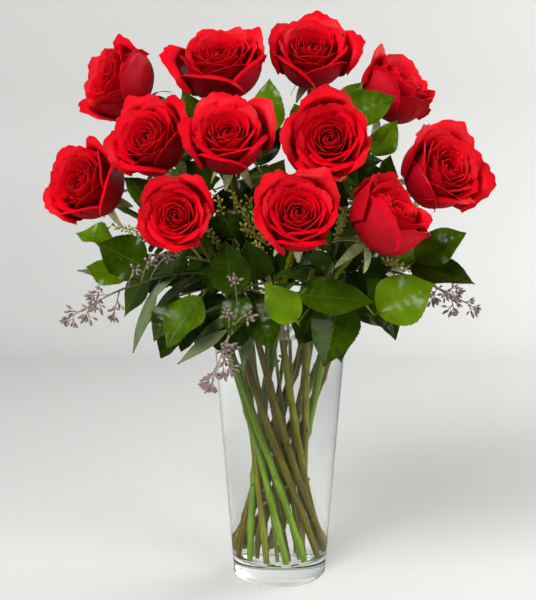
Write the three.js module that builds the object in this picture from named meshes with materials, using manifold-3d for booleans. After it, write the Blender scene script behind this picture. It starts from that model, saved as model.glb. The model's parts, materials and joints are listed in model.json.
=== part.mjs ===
// A dozen red roses standing in a tapered clear glass vase of water, with salal branches and
// seeded eucalyptus between them. Millimetres, +Z up. The origin is the centre of the vase's
// foot on the surface it stands on, and the arrangement faces -Y.
//
// The cut stems cross in a spiral: each one leans the same way round, so they pass close to
// each other at a narrow waist without touching. Every bloom is a spiral of petals, each a
// fifth and a turn on from the last, on a bud-shaped core. Leaves and seed sprays are placed
// by a rule that turns each one about its stem until it is clear of what is already there.

import * as THREE from "three";
import { mergeVertices } from "three/addons/utils/BufferGeometryUtils.js";
import Module from "manifold-3d";

const wasm = await Module();
wasm.setup();

// ---- Driving dimensions ----

const GAP = 0.3; // left between pieces that touch on the real thing

const VASE_HEIGHT = 268;
const FOOT_RADIUS = 45.5;
const MOUTH_RADIUS = 66;
const WALL = 3.2;
const FOOT_THICKNESS = 19;
const FOOT_BEVEL = 4;
const VASE_SIDES = 32;
const WATER_DEPTH = 231; // above the inside of the foot

const TWIST = 130; // degrees that a stem turns round the vase's axis from its top down to its foot
const NECK_HEIGHT = 262; // where a straight stem starts to bend towards its bloom
const ROSE_STEM = { radius: 3, footRing: 34, neckRing: 46, sides: 5, knots: [0, 0.3, 0.6, 0.85, 1] };
const SALAL_STEM = { radius: 1.5, footRing: 19, neckRing: 28, sides: 5, knots: [0, 0.3, 0.65, 1] };
const SPRAY_START = 0.78; // where along its bend a eucalyptus stem turns from leaves to seeds
const GUM_STEM = { ...SALAL_STEM, knots: [0, 0.3, 0.55, SPRAY_START - 0.01, SPRAY_START, 0.9, 1] };

// Two whorls of five petals, by their place from the heart, 0, to the outside, 1. Each petal is
// a fifth of a turn on from the last. A row is a place along a petal and its columns there.
const OUTER_WHORL = {
  places: [1, 0.94, 0.88, 0.82, 0.76],
  thrown: [1, 0.8, 0.55, 0.35, 0.2], // how far each rim is thrown outwards
  rows: [[0.4, 4], [0.72, 4], [1, 4]],
  spread: 48,
  root: [6, 1.4], // radius and height on the seat
};
const INNER_WHORL = {
  places: [0.55, 0.45, 0.35, 0.25, 0.15],
  thrown: [0, 0, 0, 0, 0],
  rows: [[0.38, 3], [1, 3]],
  spread: 52,
  root: [4.6, 4.8],
};
const PETAL_THICKNESS = 0.8;
const ROOT_THICKNESS = 1.2;
const BLOOM_HEIGHT = 52;
const LEAF_THICKNESS = 0.7;

const BUD = [[16, 6.5], [34, 6], [46, 2]]; // height over the bloom's base, radius

// Each rose: where the middle of its bloom is, the way it faces, its size, how open it is from
// 0 to 1, the turn of its spiral, and the angle at which its stem leaves the vase's mouth.
const ROSES = [
  { name: "1", at: [-154, 35, 479], faces: [-0.78, -0.43, 0.45], size: 1.04, open: 0.6, spin: 20, slot: 120 },
  { name: "2", at: [-56, 32, 498], faces: [-0.08, -0.55, 0.83], size: 1.12, open: 1.0, spin: 185, slot: 90 },
  { name: "3", at: [32, 52, 508], faces: [0.02, -0.7, 0.71], size: 1.03, open: 0.95, spin: 10, slot: 60 },
  { name: "4", at: [111, 38, 474], faces: [0.62, -0.35, 0.68], size: 1.0, open: 0.55, spin: 30, slot: 30 },
  { name: "5", at: [-116, -33, 427], faces: [-0.45, -0.72, 0.52], size: 0.97, open: 0.75, spin: 50, slot: 180 },
  { name: "6", at: [-46, -76, 430], faces: [-0.05, -0.74, 0.67], size: 0.97, open: 0.95, spin: 40, slot: -120 },
  { name: "7", at: [44, -77, 430], faces: [-0.12, -0.96, 0.24], size: 0.94, open: 0.85, spin: 105, slot: -60 },
  { name: "8", at: [-183, 2, 384], faces: [-0.55, -0.68, 0.44], size: 1.02, open: 0.75, spin: 0, slot: 150 },
  { name: "9", at: [-89, -107, 366], faces: [-0.1, -0.97, 0.22], size: 0.8, open: 0.9, spin: 54, slot: -150 },
  { name: "10", at: [14, -122, 366], faces: [0.03, -0.85, 0.55], size: 0.91, open: 0.9, spin: 60, slot: -90 },
  { name: "11", at: [92, -98, 361], faces: [0.63, -0.36, 0.69], size: 1.0, open: 0.25, spin: 40, slot: -30 },
  { name: "12", at: [148, -15, 398], faces: [0.52, -0.72, 0.45], size: 1.09, open: 0.8, spin: -15, slot: 0 },
];

// Each branch of salal: where its tip is, how it leaves the mouth, and how its leaves grow.
const SALAL = [
  { name: "left", tip: [-128, -46, 326], rise: 56, slot: 165, leaves: 7, length: 74, seed: 11 },
  { name: "left_low", tip: [-92, -74, 292], rise: 44, slot: -135, leaves: 7, length: 72, seed: 23 },
  { name: "front_left", tip: [-34, -84, 300], rise: 44, slot: -75, leaves: 6, length: 72, seed: 31 },
  { name: "front_right", tip: [64, -84, 298], rise: 42, slot: -40, leaves: 6, length: 72, seed: 47 },
  { name: "right", tip: [112, -50, 316], rise: 52, slot: -15, leaves: 7, length: 74, seed: 59 },
  { name: "top_left", tip: [-50, -4, 440], rise: 90, slot: 105, leaves: 6, length: 68, seed: 61 },
  { name: "top_right", tip: [50, -6, 444], rise: 90, slot: 75, leaves: 6, length: 68, seed: 67 },
  { name: "back_left", tip: [-80, 84, 372], rise: 80, slot: 135, leaves: 5, length: 80, seed: 73 },
  { name: "back_right", tip: [78, 86, 366], rise: 80, slot: 50, leaves: 5, length: 80, seed: 89 },
];

// The large leaves that show most, each on a shoot of a branch: the branch, how far along its bend
// the shoot starts, the two ends of the leaf, its width, and how far its face is rolled.
const KEY_LEAVES = [
  { of: "left", from: 0.9, root: [-118, -62, 314], tip: [-166, -62, 338], width: 44, rolled: -10 },
  { of: "left", from: 1, root: [-148, -50, 336], tip: [-188, -50, 346], width: 28, rolled: 15 },
  { of: "left", from: 0.95, root: [-136, -66, 306], tip: [-176, -72, 318], width: 30, rolled: 0 },
  { of: "left_low", from: 0.7, root: [-66, -98, 300], tip: [-101, -104, 250], width: 46, rolled: 12 },
  { of: "front_left", from: 0.8, root: [-47, -68, 291], tip: [-49, -80, 236], width: 53, rolled: -8 },
  { of: "front_left", from: 0.9, root: [-42, -94, 292], tip: [-49, -102, 346], width: 38, rolled: 10 },
  { of: "front_right", from: 0.6, root: [16, -112, 272], tip: [-14, -118, 311], width: 32, rolled: -30 },
  { of: "front_left", from: 1, root: [6, -98, 297], tip: [82, -106, 291], width: 37, rolled: 0 },
  { of: "front_right", from: 1, root: [80, -92, 276], tip: [136, -92, 306], width: 50, rolled: 0 },
  { of: "right", from: 1, root: [117, -62, 320], tip: [168, -64, 348], width: 38, rolled: -15 },
  { of: "top_left", from: 0.8, root: [-12, 2, 428], tip: [-10, 4, 487], width: 34, rolled: 0 },
  { of: "top_right", from: 1, root: [54, 8, 452], tip: [78, 14, 484], width: 24, rolled: 10 },
  { of: "top_left", from: 1, root: [-70, 4, 438], tip: [-93, 8, 476], width: 26, rolled: -10 },
  { of: "left", from: 0.6, root: [-108, -14, 362], tip: [-146, -24, 396], width: 28, rolled: 10 },
  { of: "top_left", from: 0.7, root: [-60, -26, 382], tip: [-88, -32, 412], width: 26, rolled: 0 },
  { of: "top_right", from: 0.8, root: [84, -10, 412], tip: [109, -14, 448], width: 28, rolled: 0 },
  { of: "right", from: 0.7, root: [90, -6, 376], tip: [104, -8, 416], width: 28, rolled: 10 },
  { of: "top_right", from: 0.6, root: [44, -46, 366], tip: [56, -62, 392], width: 26, rolled: 0 },
  { of: "front_left", from: 0.6, root: [-41, -45, 338], tip: [-57, -46, 371], width: 28, rolled: 0 },
];

// Each stem of seeded eucalyptus, in the same way as the branches.
const EUCALYPTUS = [
  { name: "left", tip: [-176, -82, 282], rise: 66, slot: -165, leaves: 7, clusters: 5, seed: 7 },
  { name: "front", tip: [-56, -122, 236], rise: 74, slot: -105, leaves: 5, clusters: 5, seed: 17 },
  { name: "right", tip: [164, -52, 286], rise: 70, slot: 15, leaves: 8, clusters: 5, seed: 29 },
];

const RED = material(0xd30a1e, 0.55);
const STEM_GREEN = material(0x667216, 0.5);
const LEAF_GREEN = material(0x3b5a0c, 0.42);
const GREY_GREEN = material(0x69775a, 0.6);
const SEED_BROWN = material(0x8a6f62, 0.65);
const CLEAR_GLASS = material(0xe9eeee, 0.03);
const WATER = material(0xdfe9ea, 0.02);

function material(color, roughness) {
  return new THREE.MeshStandardMaterial({ color, roughness, metalness: 0 });
}

// ---- Small helpers ----

const degrees = THREE.MathUtils.degToRad;
const UP = new THREE.Vector3(0, 0, 1);
const vector = (a) => new THREE.Vector3(...a);
const mix = (a, b, t) => a + (b - a) * t;

// A seeded draw from 0 to 1.
function seeded(seed) {
  let state = seed;
  return () => {
    state = (state * 1664525 + 1013904223) % 4294967296;
    return state / 4294967296;
  };
}

// A point on the circle of that radius at an angle in degrees, at height z.
function onRing(radius, angle, z) {
  const a = degrees(angle);
  return new THREE.Vector3(radius * Math.cos(a), radius * Math.sin(a), z);
}

// v less its share along the unit vector n, at unit length.
function across(v, n) {
  return v.clone().addScaledVector(n, -v.dot(n)).normalize();
}

// A closed geometry as a solid.
function solidOf(geometry) {
  const bare = geometry.index ? geometry.toNonIndexed() : geometry.clone();
  bare.deleteAttribute("normal");
  bare.deleteAttribute("uv");
  const merged = mergeVertices(bare, 1e-4);
  const mesh = new wasm.Mesh({
    numProp: 3,
    vertProperties: merged.attributes.position.array,
    triVerts: new Uint32Array(merged.index.array),
  });
  return new wasm.Manifold(mesh);
}

function joined(solids) {
  return solids.reduce((all, one) => all.add(one));
}

function meshOf(name, solid, finish) {
  const { vertProperties, triVerts } = solid.getMesh();
  const geometry = new THREE.BufferGeometry();
  geometry.setAttribute("position", new THREE.BufferAttribute(vertProperties, 3));
  geometry.setIndex(new THREE.BufferAttribute(triVerts, 1));
  geometry.computeVertexNormals();
  const mesh = new THREE.Mesh(geometry, finish);
  mesh.name = name;
  return mesh;
}

// A closed skin, put together from rings of points and from thin flaps that grow out of it.
class Skin {
  points = [];
  index = [];

  add(points) {
    this.points.push(...points);
    return points.map((_, i) => this.points.length - points.length + i);
  }

  quad(a, b, c, d) {
    this.index.push(a, b, c, a, c, d);
  }

  // The band between two rings, each counted round the same way about the line from a to b.
  band(a, b) {
    a.forEach((_, i) => {
      const next = (i + 1) % a.length;
      this.quad(a[i], a[next], b[next], b[i]);
    });
  }

  cap(ring) {
    for (let i = 1; i < ring.length - 1; i++) this.index.push(ring[0], ring[i], ring[i + 1]);
  }

  // Triangles between two rows that may differ in number, facing out of under or of over.
  strip(a, b, under) {
    let [i, j] = [0, 0];
    const [m, n] = [a.length - 1, b.length - 1];
    while (i < m || j < n) {
      const alongA = j === n || (i < m && (i + 1) / m <= (j + 1) / n);
      const corners = alongA ? [a[i], a[i + 1], b[j]] : [a[i], b[j + 1], b[j]];
      this.index.push(...(under ? corners : corners.reverse()));
      if (alongA) i += 1;
      else j += 1;
    }
  }

  // A flap from the edge under[0], over[0] through each further row, both faces split alike.
  flap(under, over) {
    for (let j = 1; j < under.length; j++) {
      this.strip(under[j - 1], under[j], true);
      this.strip(over[j - 1], over[j], false);
    }
    const rim = (rows) => [
      ...rows.slice(0, -1).map((row) => row[0]),
      ...rows.at(-1),
      ...rows.slice(0, -1).reverse().map((row) => row.at(-1)),
    ];
    const [low, high] = [rim(under), rim(over)];
    for (let i = 1; i < low.length; i++) this.quad(low[i - 1], low[i], high[i], high[i - 1]);
  }

  solid() {
    const geometry = new THREE.BufferGeometry().setFromPoints(this.points);
    geometry.setIndex(this.index);
    return solidOf(geometry);
  }
}

// Both faces of surface(u, v) along one row, half the thickness to each side of it.
function rowFaces(surface, [v, columns], thickness) {
  const step = 1e-3;
  const middle = [...Array(columns + 1).keys()].map((i) => -1 + (2 * i) / columns);
  return [0.5, -0.5].map((share) =>
    middle.map((u) => {
      const alongU = surface(u + step, v).sub(surface(u - step, v));
      const alongV = surface(u, v + step).sub(surface(u, v - step));
      const normal = alongU.cross(alongV).normalize();
      return surface(u, v).addScaledVector(normal, share * thickness);
    }),
  );
}

// A thin closed blade round surface(u, v), with u from -1 to 1 across and v from 0 to 1 along.
function blade(surface, rows, thickness) {
  const skin = new Skin();
  const faces = rows.map((row) => rowFaces(surface, row, thickness).map((face) => skin.add(face)));
  const [under, over] = [0, 1].map((side) => faces.map((pair) => pair[side]));
  skin.flap(under, over);
  skin.quad(under[0][1], under[0][0], over[0][0], over[0][1]);
  return skin.solid();
}

// A ring of corners about a point, across the unit vector along, counted on from side.
function ring(point, along, side, radius, corners, flat = 1) {
  const third = along.clone().cross(side);
  return [...Array(corners).keys()].map((i) => {
    const a = (2 * Math.PI * i) / corners;
    return point
      .clone()
      .addScaledVector(side, radius * flat * Math.cos(a))
      .addScaledVector(third, radius * Math.sin(a));
  });
}

// The rings of a limb through points, with a radius at each, starting at the end from side.
function limbRings(points, radii, corners, side, flat) {
  let turned = side;
  const rings = [];
  for (let k = points.length - 1; k >= 0; k--) {
    const before = points[Math.max(0, k - 1)];
    const after = points[Math.min(points.length - 1, k + 1)];
    const along = after.clone().sub(before).normalize();
    turned = across(turned, along);
    rings.unshift(ring(points[k], along, turned, radii[k], corners, flat));
  }
  return rings;
}

// A closed limb of few sides.
function limb(points, radii, corners, flat = 1) {
  const last = points.at(-1).clone().sub(points.at(-2)).normalize();
  const side = Math.abs(last.z) < 0.9 ? UP : new THREE.Vector3(1, 0, 0);
  const skin = new Skin();
  const rings = limbRings(points, radii, corners, side, flat).map((one) => skin.add(one));
  rings.slice(1).forEach((one, k) => skin.band(rings[k], one));
  skin.cap([...rings[0]].reverse());
  skin.cap(rings.at(-1));
  return skin.solid();
}

// ---- Vase and water ----

const outerRadius = (z) => mix(FOOT_RADIUS, MOUTH_RADIUS, z / VASE_HEIGHT);
const innerRadius = (z) => outerRadius(z) - WALL;
const WATER_LEVEL = FOOT_THICKNESS + WATER_DEPTH;

function lathe(profile) {
  const points = profile.map(([r, z]) => new THREE.Vector2(r, z));
  const geometry = new THREE.LatheGeometry(points, VASE_SIDES);
  geometry.rotateX(Math.PI / 2);
  const solid = solidOf(geometry);
  if (solid.volume() > 0) return solid;
  return solidOf(new THREE.LatheGeometry(points.reverse(), VASE_SIDES).rotateX(Math.PI / 2));
}

function vase() {
  const lip = WALL / 2;
  return lathe([
    [0, 0],
    [FOOT_RADIUS - FOOT_BEVEL, 0],
    [outerRadius(FOOT_BEVEL), FOOT_BEVEL],
    [outerRadius(FOOT_THICKNESS), FOOT_THICKNESS],
    [outerRadius(VASE_HEIGHT - lip), VASE_HEIGHT - lip],
    [MOUTH_RADIUS - lip, VASE_HEIGHT],
    [innerRadius(VASE_HEIGHT - lip), VASE_HEIGHT - lip],
    [innerRadius(FOOT_THICKNESS + FOOT_BEVEL), FOOT_THICKNESS + FOOT_BEVEL],
    [innerRadius(FOOT_THICKNESS) - FOOT_BEVEL, FOOT_THICKNESS],
    [0, FOOT_THICKNESS],
  ]);
}

// The water fills the vase nearly to its rim, with a plain hole for each stem.
function water(stems) {
  const bottom = FOOT_THICKNESS + GAP;
  const body = lathe([
    [0, bottom],
    [innerRadius(FOOT_THICKNESS) - FOOT_BEVEL - GAP, bottom],
    [innerRadius(FOOT_THICKNESS + FOOT_BEVEL) - GAP, FOOT_THICKNESS + FOOT_BEVEL + GAP],
    [innerRadius(WATER_LEVEL) - GAP, WATER_LEVEL],
    [0, WATER_LEVEL],
  ]);
  return stems.reduce((left, { foot, neck, radius, sides }) => {
    const lean = neck.clone().sub(foot).normalize();
    const start = foot.clone().addScaledVector(lean, -6);
    const room = (radius + GAP) / Math.cos(Math.PI / sides);
    return left.subtract(limb([start, neck], [room, room], sides));
  }, body);
}

// ---- Stems ----

// A stem is straight from its foot on the vase's floor up to the mouth, and bends from there to
// its end, which it reaches along the way that the end points.
function stemPath(kind, slot, end, arrives, pull) {
  const neck = onRing(kind.neckRing, slot, NECK_HEIGHT);
  const foot = onRing(kind.footRing, slot + TWIST, FOOT_THICKNESS + GAP + kind.radius / 2);
  const lean = neck.clone().sub(foot).normalize();
  const reach = end.distanceTo(neck);
  const bend = new THREE.CubicBezierCurve3(
    neck,
    neck.clone().addScaledVector(lean, pull ?? reach * 0.35),
    end.clone().addScaledVector(arrives, -reach * 0.4),
    end,
  );
  return { ...kind, bend, foot, neck };
}

// The corners of a stem from its foot to part `to` of its bend.
function stemPoints(stem, to) {
  const knots = stem.knots.filter((t) => t <= to);
  return [stem.foot, ...knots.map((t) => stem.bend.getPoint(t))];
}

// The point at part t of a stem's bend, on the straight pieces between its corners.
function onBend(stem, t) {
  const next = Math.max(1, stem.knots.findIndex((knot) => knot >= t));
  const [a, b] = [stem.knots[next - 1], stem.knots[next]];
  return stem.bend.getPoint(a).lerp(stem.bend.getPoint(b), (t - a) / (b - a));
}

function limbOf(points, radius, sides) {
  return limb(points, Array(points.length).fill(radius), sides);
}

// ---- Blooms ----

// A bloom's own frame: its base, its axis, and two directions across it.
function bloomFrame(rose) {
  const axis = vector(rose.faces).normalize();
  const height = BLOOM_HEIGHT * rose.size;
  const base = vector(rose.at).addScaledVector(axis, -height / 2);
  const right = across(new THREE.Vector3(-axis.y, axis.x, 0), axis);
  const front = axis.clone().cross(right);
  return { ...rose, axis, base, right, front, height };
}

// A point by its radius, its angle in degrees and its height in a bloom's frame.
function inBloom(bloom, radius, angle, height) {
  return bloom.base
    .clone()
    .addScaledVector(bloom.right, radius * Math.cos(degrees(angle)))
    .addScaledVector(bloom.front, radius * Math.sin(degrees(angle)))
    .addScaledVector(bloom.axis, height);
}

// The point of a petal at u across and v along it. Its section is a curve that leaves the seat
// sideways, turns up round the full belly and ends at a pointed rim. The outer petals of an open
// bloom end wide and low, and those at the heart close in.
function petalPoint(bloom, { root, spread }, place, thrown, turn, u, v) {
  const roll = bloom.open * Math.min(1, place / 0.6) ** 2;
  const crown = mix(50, 45, bloom.open) + 22 * place * (1 - place);
  const low = [8 + 35 * place, 4];
  const high = [8 + 31 * place, 33];
  const rim = [2.5 + 36 * place + 12 * thrown * roll, crown - (8 + 4 * thrown) * place * roll];
  const point = 0.05 * place * Math.max(0, 1 - Math.abs(u) / 0.35);
  const t = v * (1 - 0.16 * Math.abs(u) ** 2.4 + point);
  const w = 1 - t;
  const section = (i) =>
    w ** 3 * root[i] + 3 * w * w * t * low[i] + 3 * w * t * t * high[i] + t ** 3 * rim[i];
  const angle = bloom.spin + turn + u * Math.min(1, 0.3 + v) * spread;
  return inBloom(bloom, section(0) * bloom.size, angle, section(1) * bloom.size);
}

// Five flaps that grow out between two rings of five corners.
function whorl(skin, under, over, rowsOf) {
  for (let i = 0; i < 5; i++) {
    const next = (i + 1) % 5;
    const rows = rowsOf(i);
    skin.flap(
      [[under[i], under[next]], ...rows.map((row) => skin.add(row[0]))],
      [[over[i], over[next]], ...rows.map((row) => skin.add(row[1]))],
    );
  }
}

function bloomSolid(bloom) {
  const skin = new Skin();
  const seat = (turn, h, r) =>
    skin.add([0, 72, 144, 216, 288].map((a) =>
      inBloom(bloom, r * bloom.size, bloom.spin + turn + a - 36, h * bloom.size)));
  const grow = (kind, turn) => {
    const [r, h] = kind.root;
    const under = seat(turn, h - ROOT_THICKNESS / 2, r);
    const over = seat(turn, h + ROOT_THICKNESS / 2, r);
    whorl(skin, under, over, (i) => {
      const [place, thrown] = [kind.places[i], kind.thrown[i]];
      const surface = (u, v) => petalPoint(bloom, kind, place, thrown, turn + 72 * i, u, v);
      return kind.rows.map((row) => rowFaces(surface, row, PETAL_THICKNESS));
    });
    return [under, over];
  };
  const foot = seat(0, 0, 5);
  const [outerUnder, outerOver] = grow(OUTER_WHORL, 0);
  const [innerUnder, innerOver] = grow(INNER_WHORL, 36);
  const bud = BUD.map(([h, r]) => seat(36, h, r));
  skin.cap([...foot].reverse());
  skin.band(foot, outerUnder);
  skin.band(outerOver, innerUnder);
  skin.band(innerOver, bud[0]);
  bud.slice(1).forEach((one, k) => skin.band(bud[k], one));
  skin.cap(bud.at(-1));
  return skin.solid();
}

// A rose stem swells into the hip under its bloom, where five sepals grow out and bend back.
function roseStem(stem, bloom) {
  const below = (h) => bloom.base.clone().addScaledVector(bloom.axis, -h);
  const hip = [[9, 5.2], [5.6, 4.8], [4.4, 4.8], [GAP + 0.2, 4.2]];
  const points = [...stemPoints(stem, 1), ...hip.map(([h]) => below(h))];
  const radii = [...stem.knots.map(() => stem.radius), stem.radius, ...hip.map(([, r]) => r)];
  const side = inBloom(bloom, 1, bloom.spin - 36, 0).sub(bloom.base);
  const skin = new Skin();
  const rings = limbRings(points, radii, 5, side).map((one) => skin.add(one));
  const over = rings.length - 2;
  rings.slice(1).forEach((one, k) => k + 1 === over || skin.band(rings[k], one));
  skin.cap([...rings[0]].reverse());
  skin.cap(rings.at(-1));
  whorl(skin, rings[over - 1], rings[over], (i) => {
    const angle = bloom.spin + 72 * i;
    const droop = 15 + 4 * ((2 * i) % 5);
    const middle = (h, shift) => [-17, 17].map((a) => inBloom(bloom, 12 + shift, angle + a, -h));
    return [
      [middle(6.4, -0.3), middle(5.4, 0.3)],
      [[inBloom(bloom, 20.3, angle, -droop)], [inBloom(bloom, 21.2, angle, -droop)]],
    ];
  });
  return skin.solid();
}

// ---- Keeping clear ----

// Points that are taken, each with the room that it needs and, on a stem, whose it is.
const taken = [];
const CLEARANCE = 2.5;

function take(points, radius, owner) {
  points.forEach((p) => taken.push([p.x, p.y, p.z, radius, owner]));
}

// How far out a bloom and its sepals reach at height h over its base, for a bloom of size 1.
function bloomReach(h) {
  if (h < -30 || h > BLOOM_HEIGHT + 6) return 0;
  if (h < -1) return 24;
  return Math.min(46, 22 + 1.5 * h);
}

function clearOfBlooms(p, blooms, room) {
  return blooms.every((b) => {
    const away = p.clone().sub(b.base);
    const h = away.dot(b.axis);
    const reach = bloomReach(h / b.size) * b.size * mix(0.78, 1, b.open);
    const out = Math.sqrt(Math.max(0, away.lengthSq() - h * h));
    return reach === 0 || out > reach + room;
  });
}

function clearOfVase(p, room) {
  return p.z > VASE_HEIGHT + room || Math.hypot(p.x, p.y) > outerRadius(p.z) + room;
}

function isClear(points, blooms, radius, owner) {
  return points.every(
    (p) =>
      clearOfVase(p, radius + 2) &&
      clearOfBlooms(p, blooms, radius) &&
      taken.every(([x, y, z, r, whose]) => {
        const room = r + radius;
        const far = (p.x - x) ** 2 + (p.y - y) ** 2 + (p.z - z) ** 2 > room * room;
        return far || (owner && whose === owner);
      }),
  );
}

// ---- Leaves ----

// Half the width of a leaf at v along it, as a share of its greatest half width.
const SHAPES = {
  salal: (v) => Math.sin(Math.PI * v ** 0.78) ** 0.8 * (1 - 0.12 * v),
  eucalyptus: (v) => Math.sin(Math.PI * v ** 0.85),
};

// The point of a leaf at u across and v along. A bare stalk is its first part, and the blade
// folds up from its rib, waves along its edges and droops towards its tip.
function leafPoint(leaf, u, v) {
  const blade = Math.max(0, (v - leaf.stalk) / (1 - leaf.stalk));
  const share = Math.max(SHAPES[leaf.kind](Math.min(blade, 0.999)), 0.03);
  const half = Math.max(0.8, (leaf.width / 2) * share);
  const x = leaf.length * v;
  const lift = leaf.fold * Math.abs(u) * half + leaf.wave * u * u * share * Math.sin(9 * v + leaf.phase);
  const droop = leaf.droop * leaf.length * v * v;
  const bend = leaf.sickle * leaf.length * v * v;
  return leaf.root
    .clone()
    .addScaledVector(leaf.along, x)
    .addScaledVector(leaf.side, u * half + bend)
    .addScaledVector(leaf.normal, lift - droop);
}

function leafPoints(leaf, columns, rows) {
  const points = [];
  for (let j = 1; j <= rows; j++) {
    for (let i = 0; i <= columns; i++) points.push(leafPoint(leaf, -1 + (2 * i) / columns, j / rows));
  }
  return points;
}

// How much further forward, or back behind the middle, a leaf's face is turned.
const FACE_SHIFT = 90;

// The scales and the extra droops that a leaf is tried at, in turn, and its turns about the stem.
const FITS = [[1, 0], [1, 0.4], [0.84, 0], [0.84, 0.4], [0.7, 0], [0.7, 0.4], [0.7, 0.8]];
const SWINGS = 15;
const SWING_STEP = 24;

// Tries a leaf at one place after another until it is clear of everything.
function placeLeaf(stem, t, turn, spec, blooms, draw) {
  const root = onBend(stem, t);
  const tangent = stem.bend.getTangent(t);
  const outward = new THREE.Vector3(root.x, root.y, 0).normalize();
  const start = across(outward.clone().addScaledVector(UP, 0.4), tangent);
  const shifted = new THREE.Vector3(root.x, root.y + (root.y < 20 ? -FACE_SHIFT : FACE_SHIFT), 0);
  const facing = shifted.normalize().multiplyScalar(0.8).addScaledVector(UP, 0.6);
  const splay = degrees(spec.splay + 16 * (draw() - 0.5));
  const phase = 6 * draw();
  const jitter = 24 * (draw() - 0.5);
  for (const [scale, sag] of FITS) {
    for (let k = 0; k < SWINGS; k++) {
      const swing = (k % 2 ? 1 : -1) * Math.ceil(k / 2) * SWING_STEP;
      const out = start.clone().applyAxisAngle(tangent, degrees(turn + jitter + swing));
      const along = tangent
        .clone()
        .multiplyScalar(Math.cos(splay))
        .addScaledVector(out, Math.sin(splay))
        .addScaledVector(UP, -spec.hang - sag)
        .normalize();
      const normal = across(facing, along);
      const side = normal.clone().cross(along);
      const [length, width] = [spec.length * scale, spec.width * scale];
      const leaf = { ...spec, root, along, normal, side, length, width, phase };
      const points = leafPoints(leaf, spec.kind === "eucalyptus" ? 2 : 8, 14);
      if (isClear(points, blooms, CLEARANCE, stem)) {
        take(points, CLEARANCE);
        return leaf;
      }
    }
  }
  return null;
}

const LEAF_ROWS = {
  salal: [[0, 1], [0.14, 1], [0.4, 2], [0.72, 2], [1, 1]],
  eucalyptus: [[0, 1], [0.35, 1], [0.7, 1], [1, 1]],
};

function leafSolid(leaf) {
  return blade((u, v) => leafPoint(leaf, u, v), LEAF_ROWS[leaf.kind], LEAF_THICKNESS);
}

// ---- The arrangement ----

const blooms = ROSES.map(bloomFrame);

const roseStems = blooms.map((b) => {
  const end = b.base.clone().addScaledVector(b.axis, -12);
  return stemPath(ROSE_STEM, b.slot, end, b.axis);
});

function greenStem(kind, spec) {
  const end = vector(spec.tip);
  const outward = new THREE.Vector3(end.x, end.y, 0).normalize();
  const arrives = outward.addScaledVector(UP, (end.z - NECK_HEIGHT - spec.rise) / 90).normalize();
  return { ...stemPath(kind, spec.slot, end, arrives, spec.rise), ...spec };
}

const salalStems = SALAL.map((spec) => greenStem(SALAL_STEM, spec));
const eucalyptusStems = EUCALYPTUS.map((spec) => greenStem(GUM_STEM, spec));
for (const stem of [...roseStems, ...salalStems, ...eucalyptusStems]) {
  take(stem.bend.getSpacedPoints(50), stem.radius + 0.6, stem);
}

const SALAL_LEAF = { kind: "salal", hang: 0.25, stalk: 0.12, fold: 0.16, wave: 2.4, droop: 0.16, sickle: 0 };

// A leaf between two ends. It droops, so it starts out above the line between them.
function keyLeaf({ root, tip, width, rolled }) {
  const start = vector(root);
  const span = vector(tip).sub(start);
  const way = span.clone().normalize();
  const facing = new THREE.Vector3(start.x, start.y - FACE_SHIFT, 0).normalize().multiplyScalar(0.8);
  const face = across(facing.addScaledVector(UP, 0.6), way).applyAxisAngle(way, degrees(rolled));
  const lifted = Math.atan(SALAL_LEAF.droop);
  const along = way.clone().multiplyScalar(Math.cos(lifted)).addScaledVector(face, Math.sin(lifted));
  const normal = across(face, along);
  const side = normal.clone().cross(along);
  const length = span.length() * Math.cos(lifted);
  return { ...SALAL_LEAF, root: start, along, normal, side, length, width, phase: width };
}

// The shoot that carries a key leaf, from its branch into the leaf's stalk.
function shootEnds(stem, from, leaf) {
  return [onBend(stem, from), leaf.root.clone().addScaledVector(leaf.along, 3)];
}

const keyShoots = salalStems.map((stem) =>
  KEY_LEAVES.filter(({ of }) => of === stem.name).map((spec) => {
    const leaf = keyLeaf(spec);
    const ends = shootEnds(stem, spec.from, leaf);
    take(leafPoints(leaf, 8, 14), CLEARANCE);
    take([0.2, 0.4, 0.6, 0.8].map((t) => ends[0].clone().lerp(ends[1], t)), CLEARANCE, stem);
    return { leaf, ends };
  }),
);

const salalLeaves = salalStems.map((stem) => {
  const draw = seeded(stem.seed);
  const leaves = [];
  for (let i = 0; i < stem.leaves; i++) {
    const t = mix(1, 0.3, i / (stem.leaves - 1));
    const length = stem.length * (0.86 + 0.26 * draw());
    const spec = { ...SALAL_LEAF, splay: i ? 58 : 8, length, width: length * 0.62 };
    leaves.push(placeLeaf(stem, t, i * 137.5, spec, blooms, draw));
  }
  return leaves.filter(Boolean);
});

const eucalyptusLeaves = eucalyptusStems.map((stem) => {
  const draw = seeded(stem.seed);
  const leaves = [];
  for (let i = 0; i < stem.leaves; i++) {
    const t = mix(0.72, 0.2, i / (stem.leaves - 1));
    const length = 68 * (0.8 + 0.35 * draw());
    const spec = {
      kind: "eucalyptus",
      splay: 48,
      hang: 0.3,
      stalk: 0.1,
      length,
      width: length * 0.2,
      fold: 0.1,
      wave: 0.8,
      droop: 0.1,
      sickle: 0.1 * (draw() - 0.5),
    };
    leaves.push(placeLeaf(stem, t, i * 137.5, spec, blooms, draw));
  }
  return leaves.filter(Boolean);
});

// ---- Seeds ----

const SEED_HEAD_RADIUS = 10;
const SEED_LENGTH = 9;
const SEED_RADIUS = 2;

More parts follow.
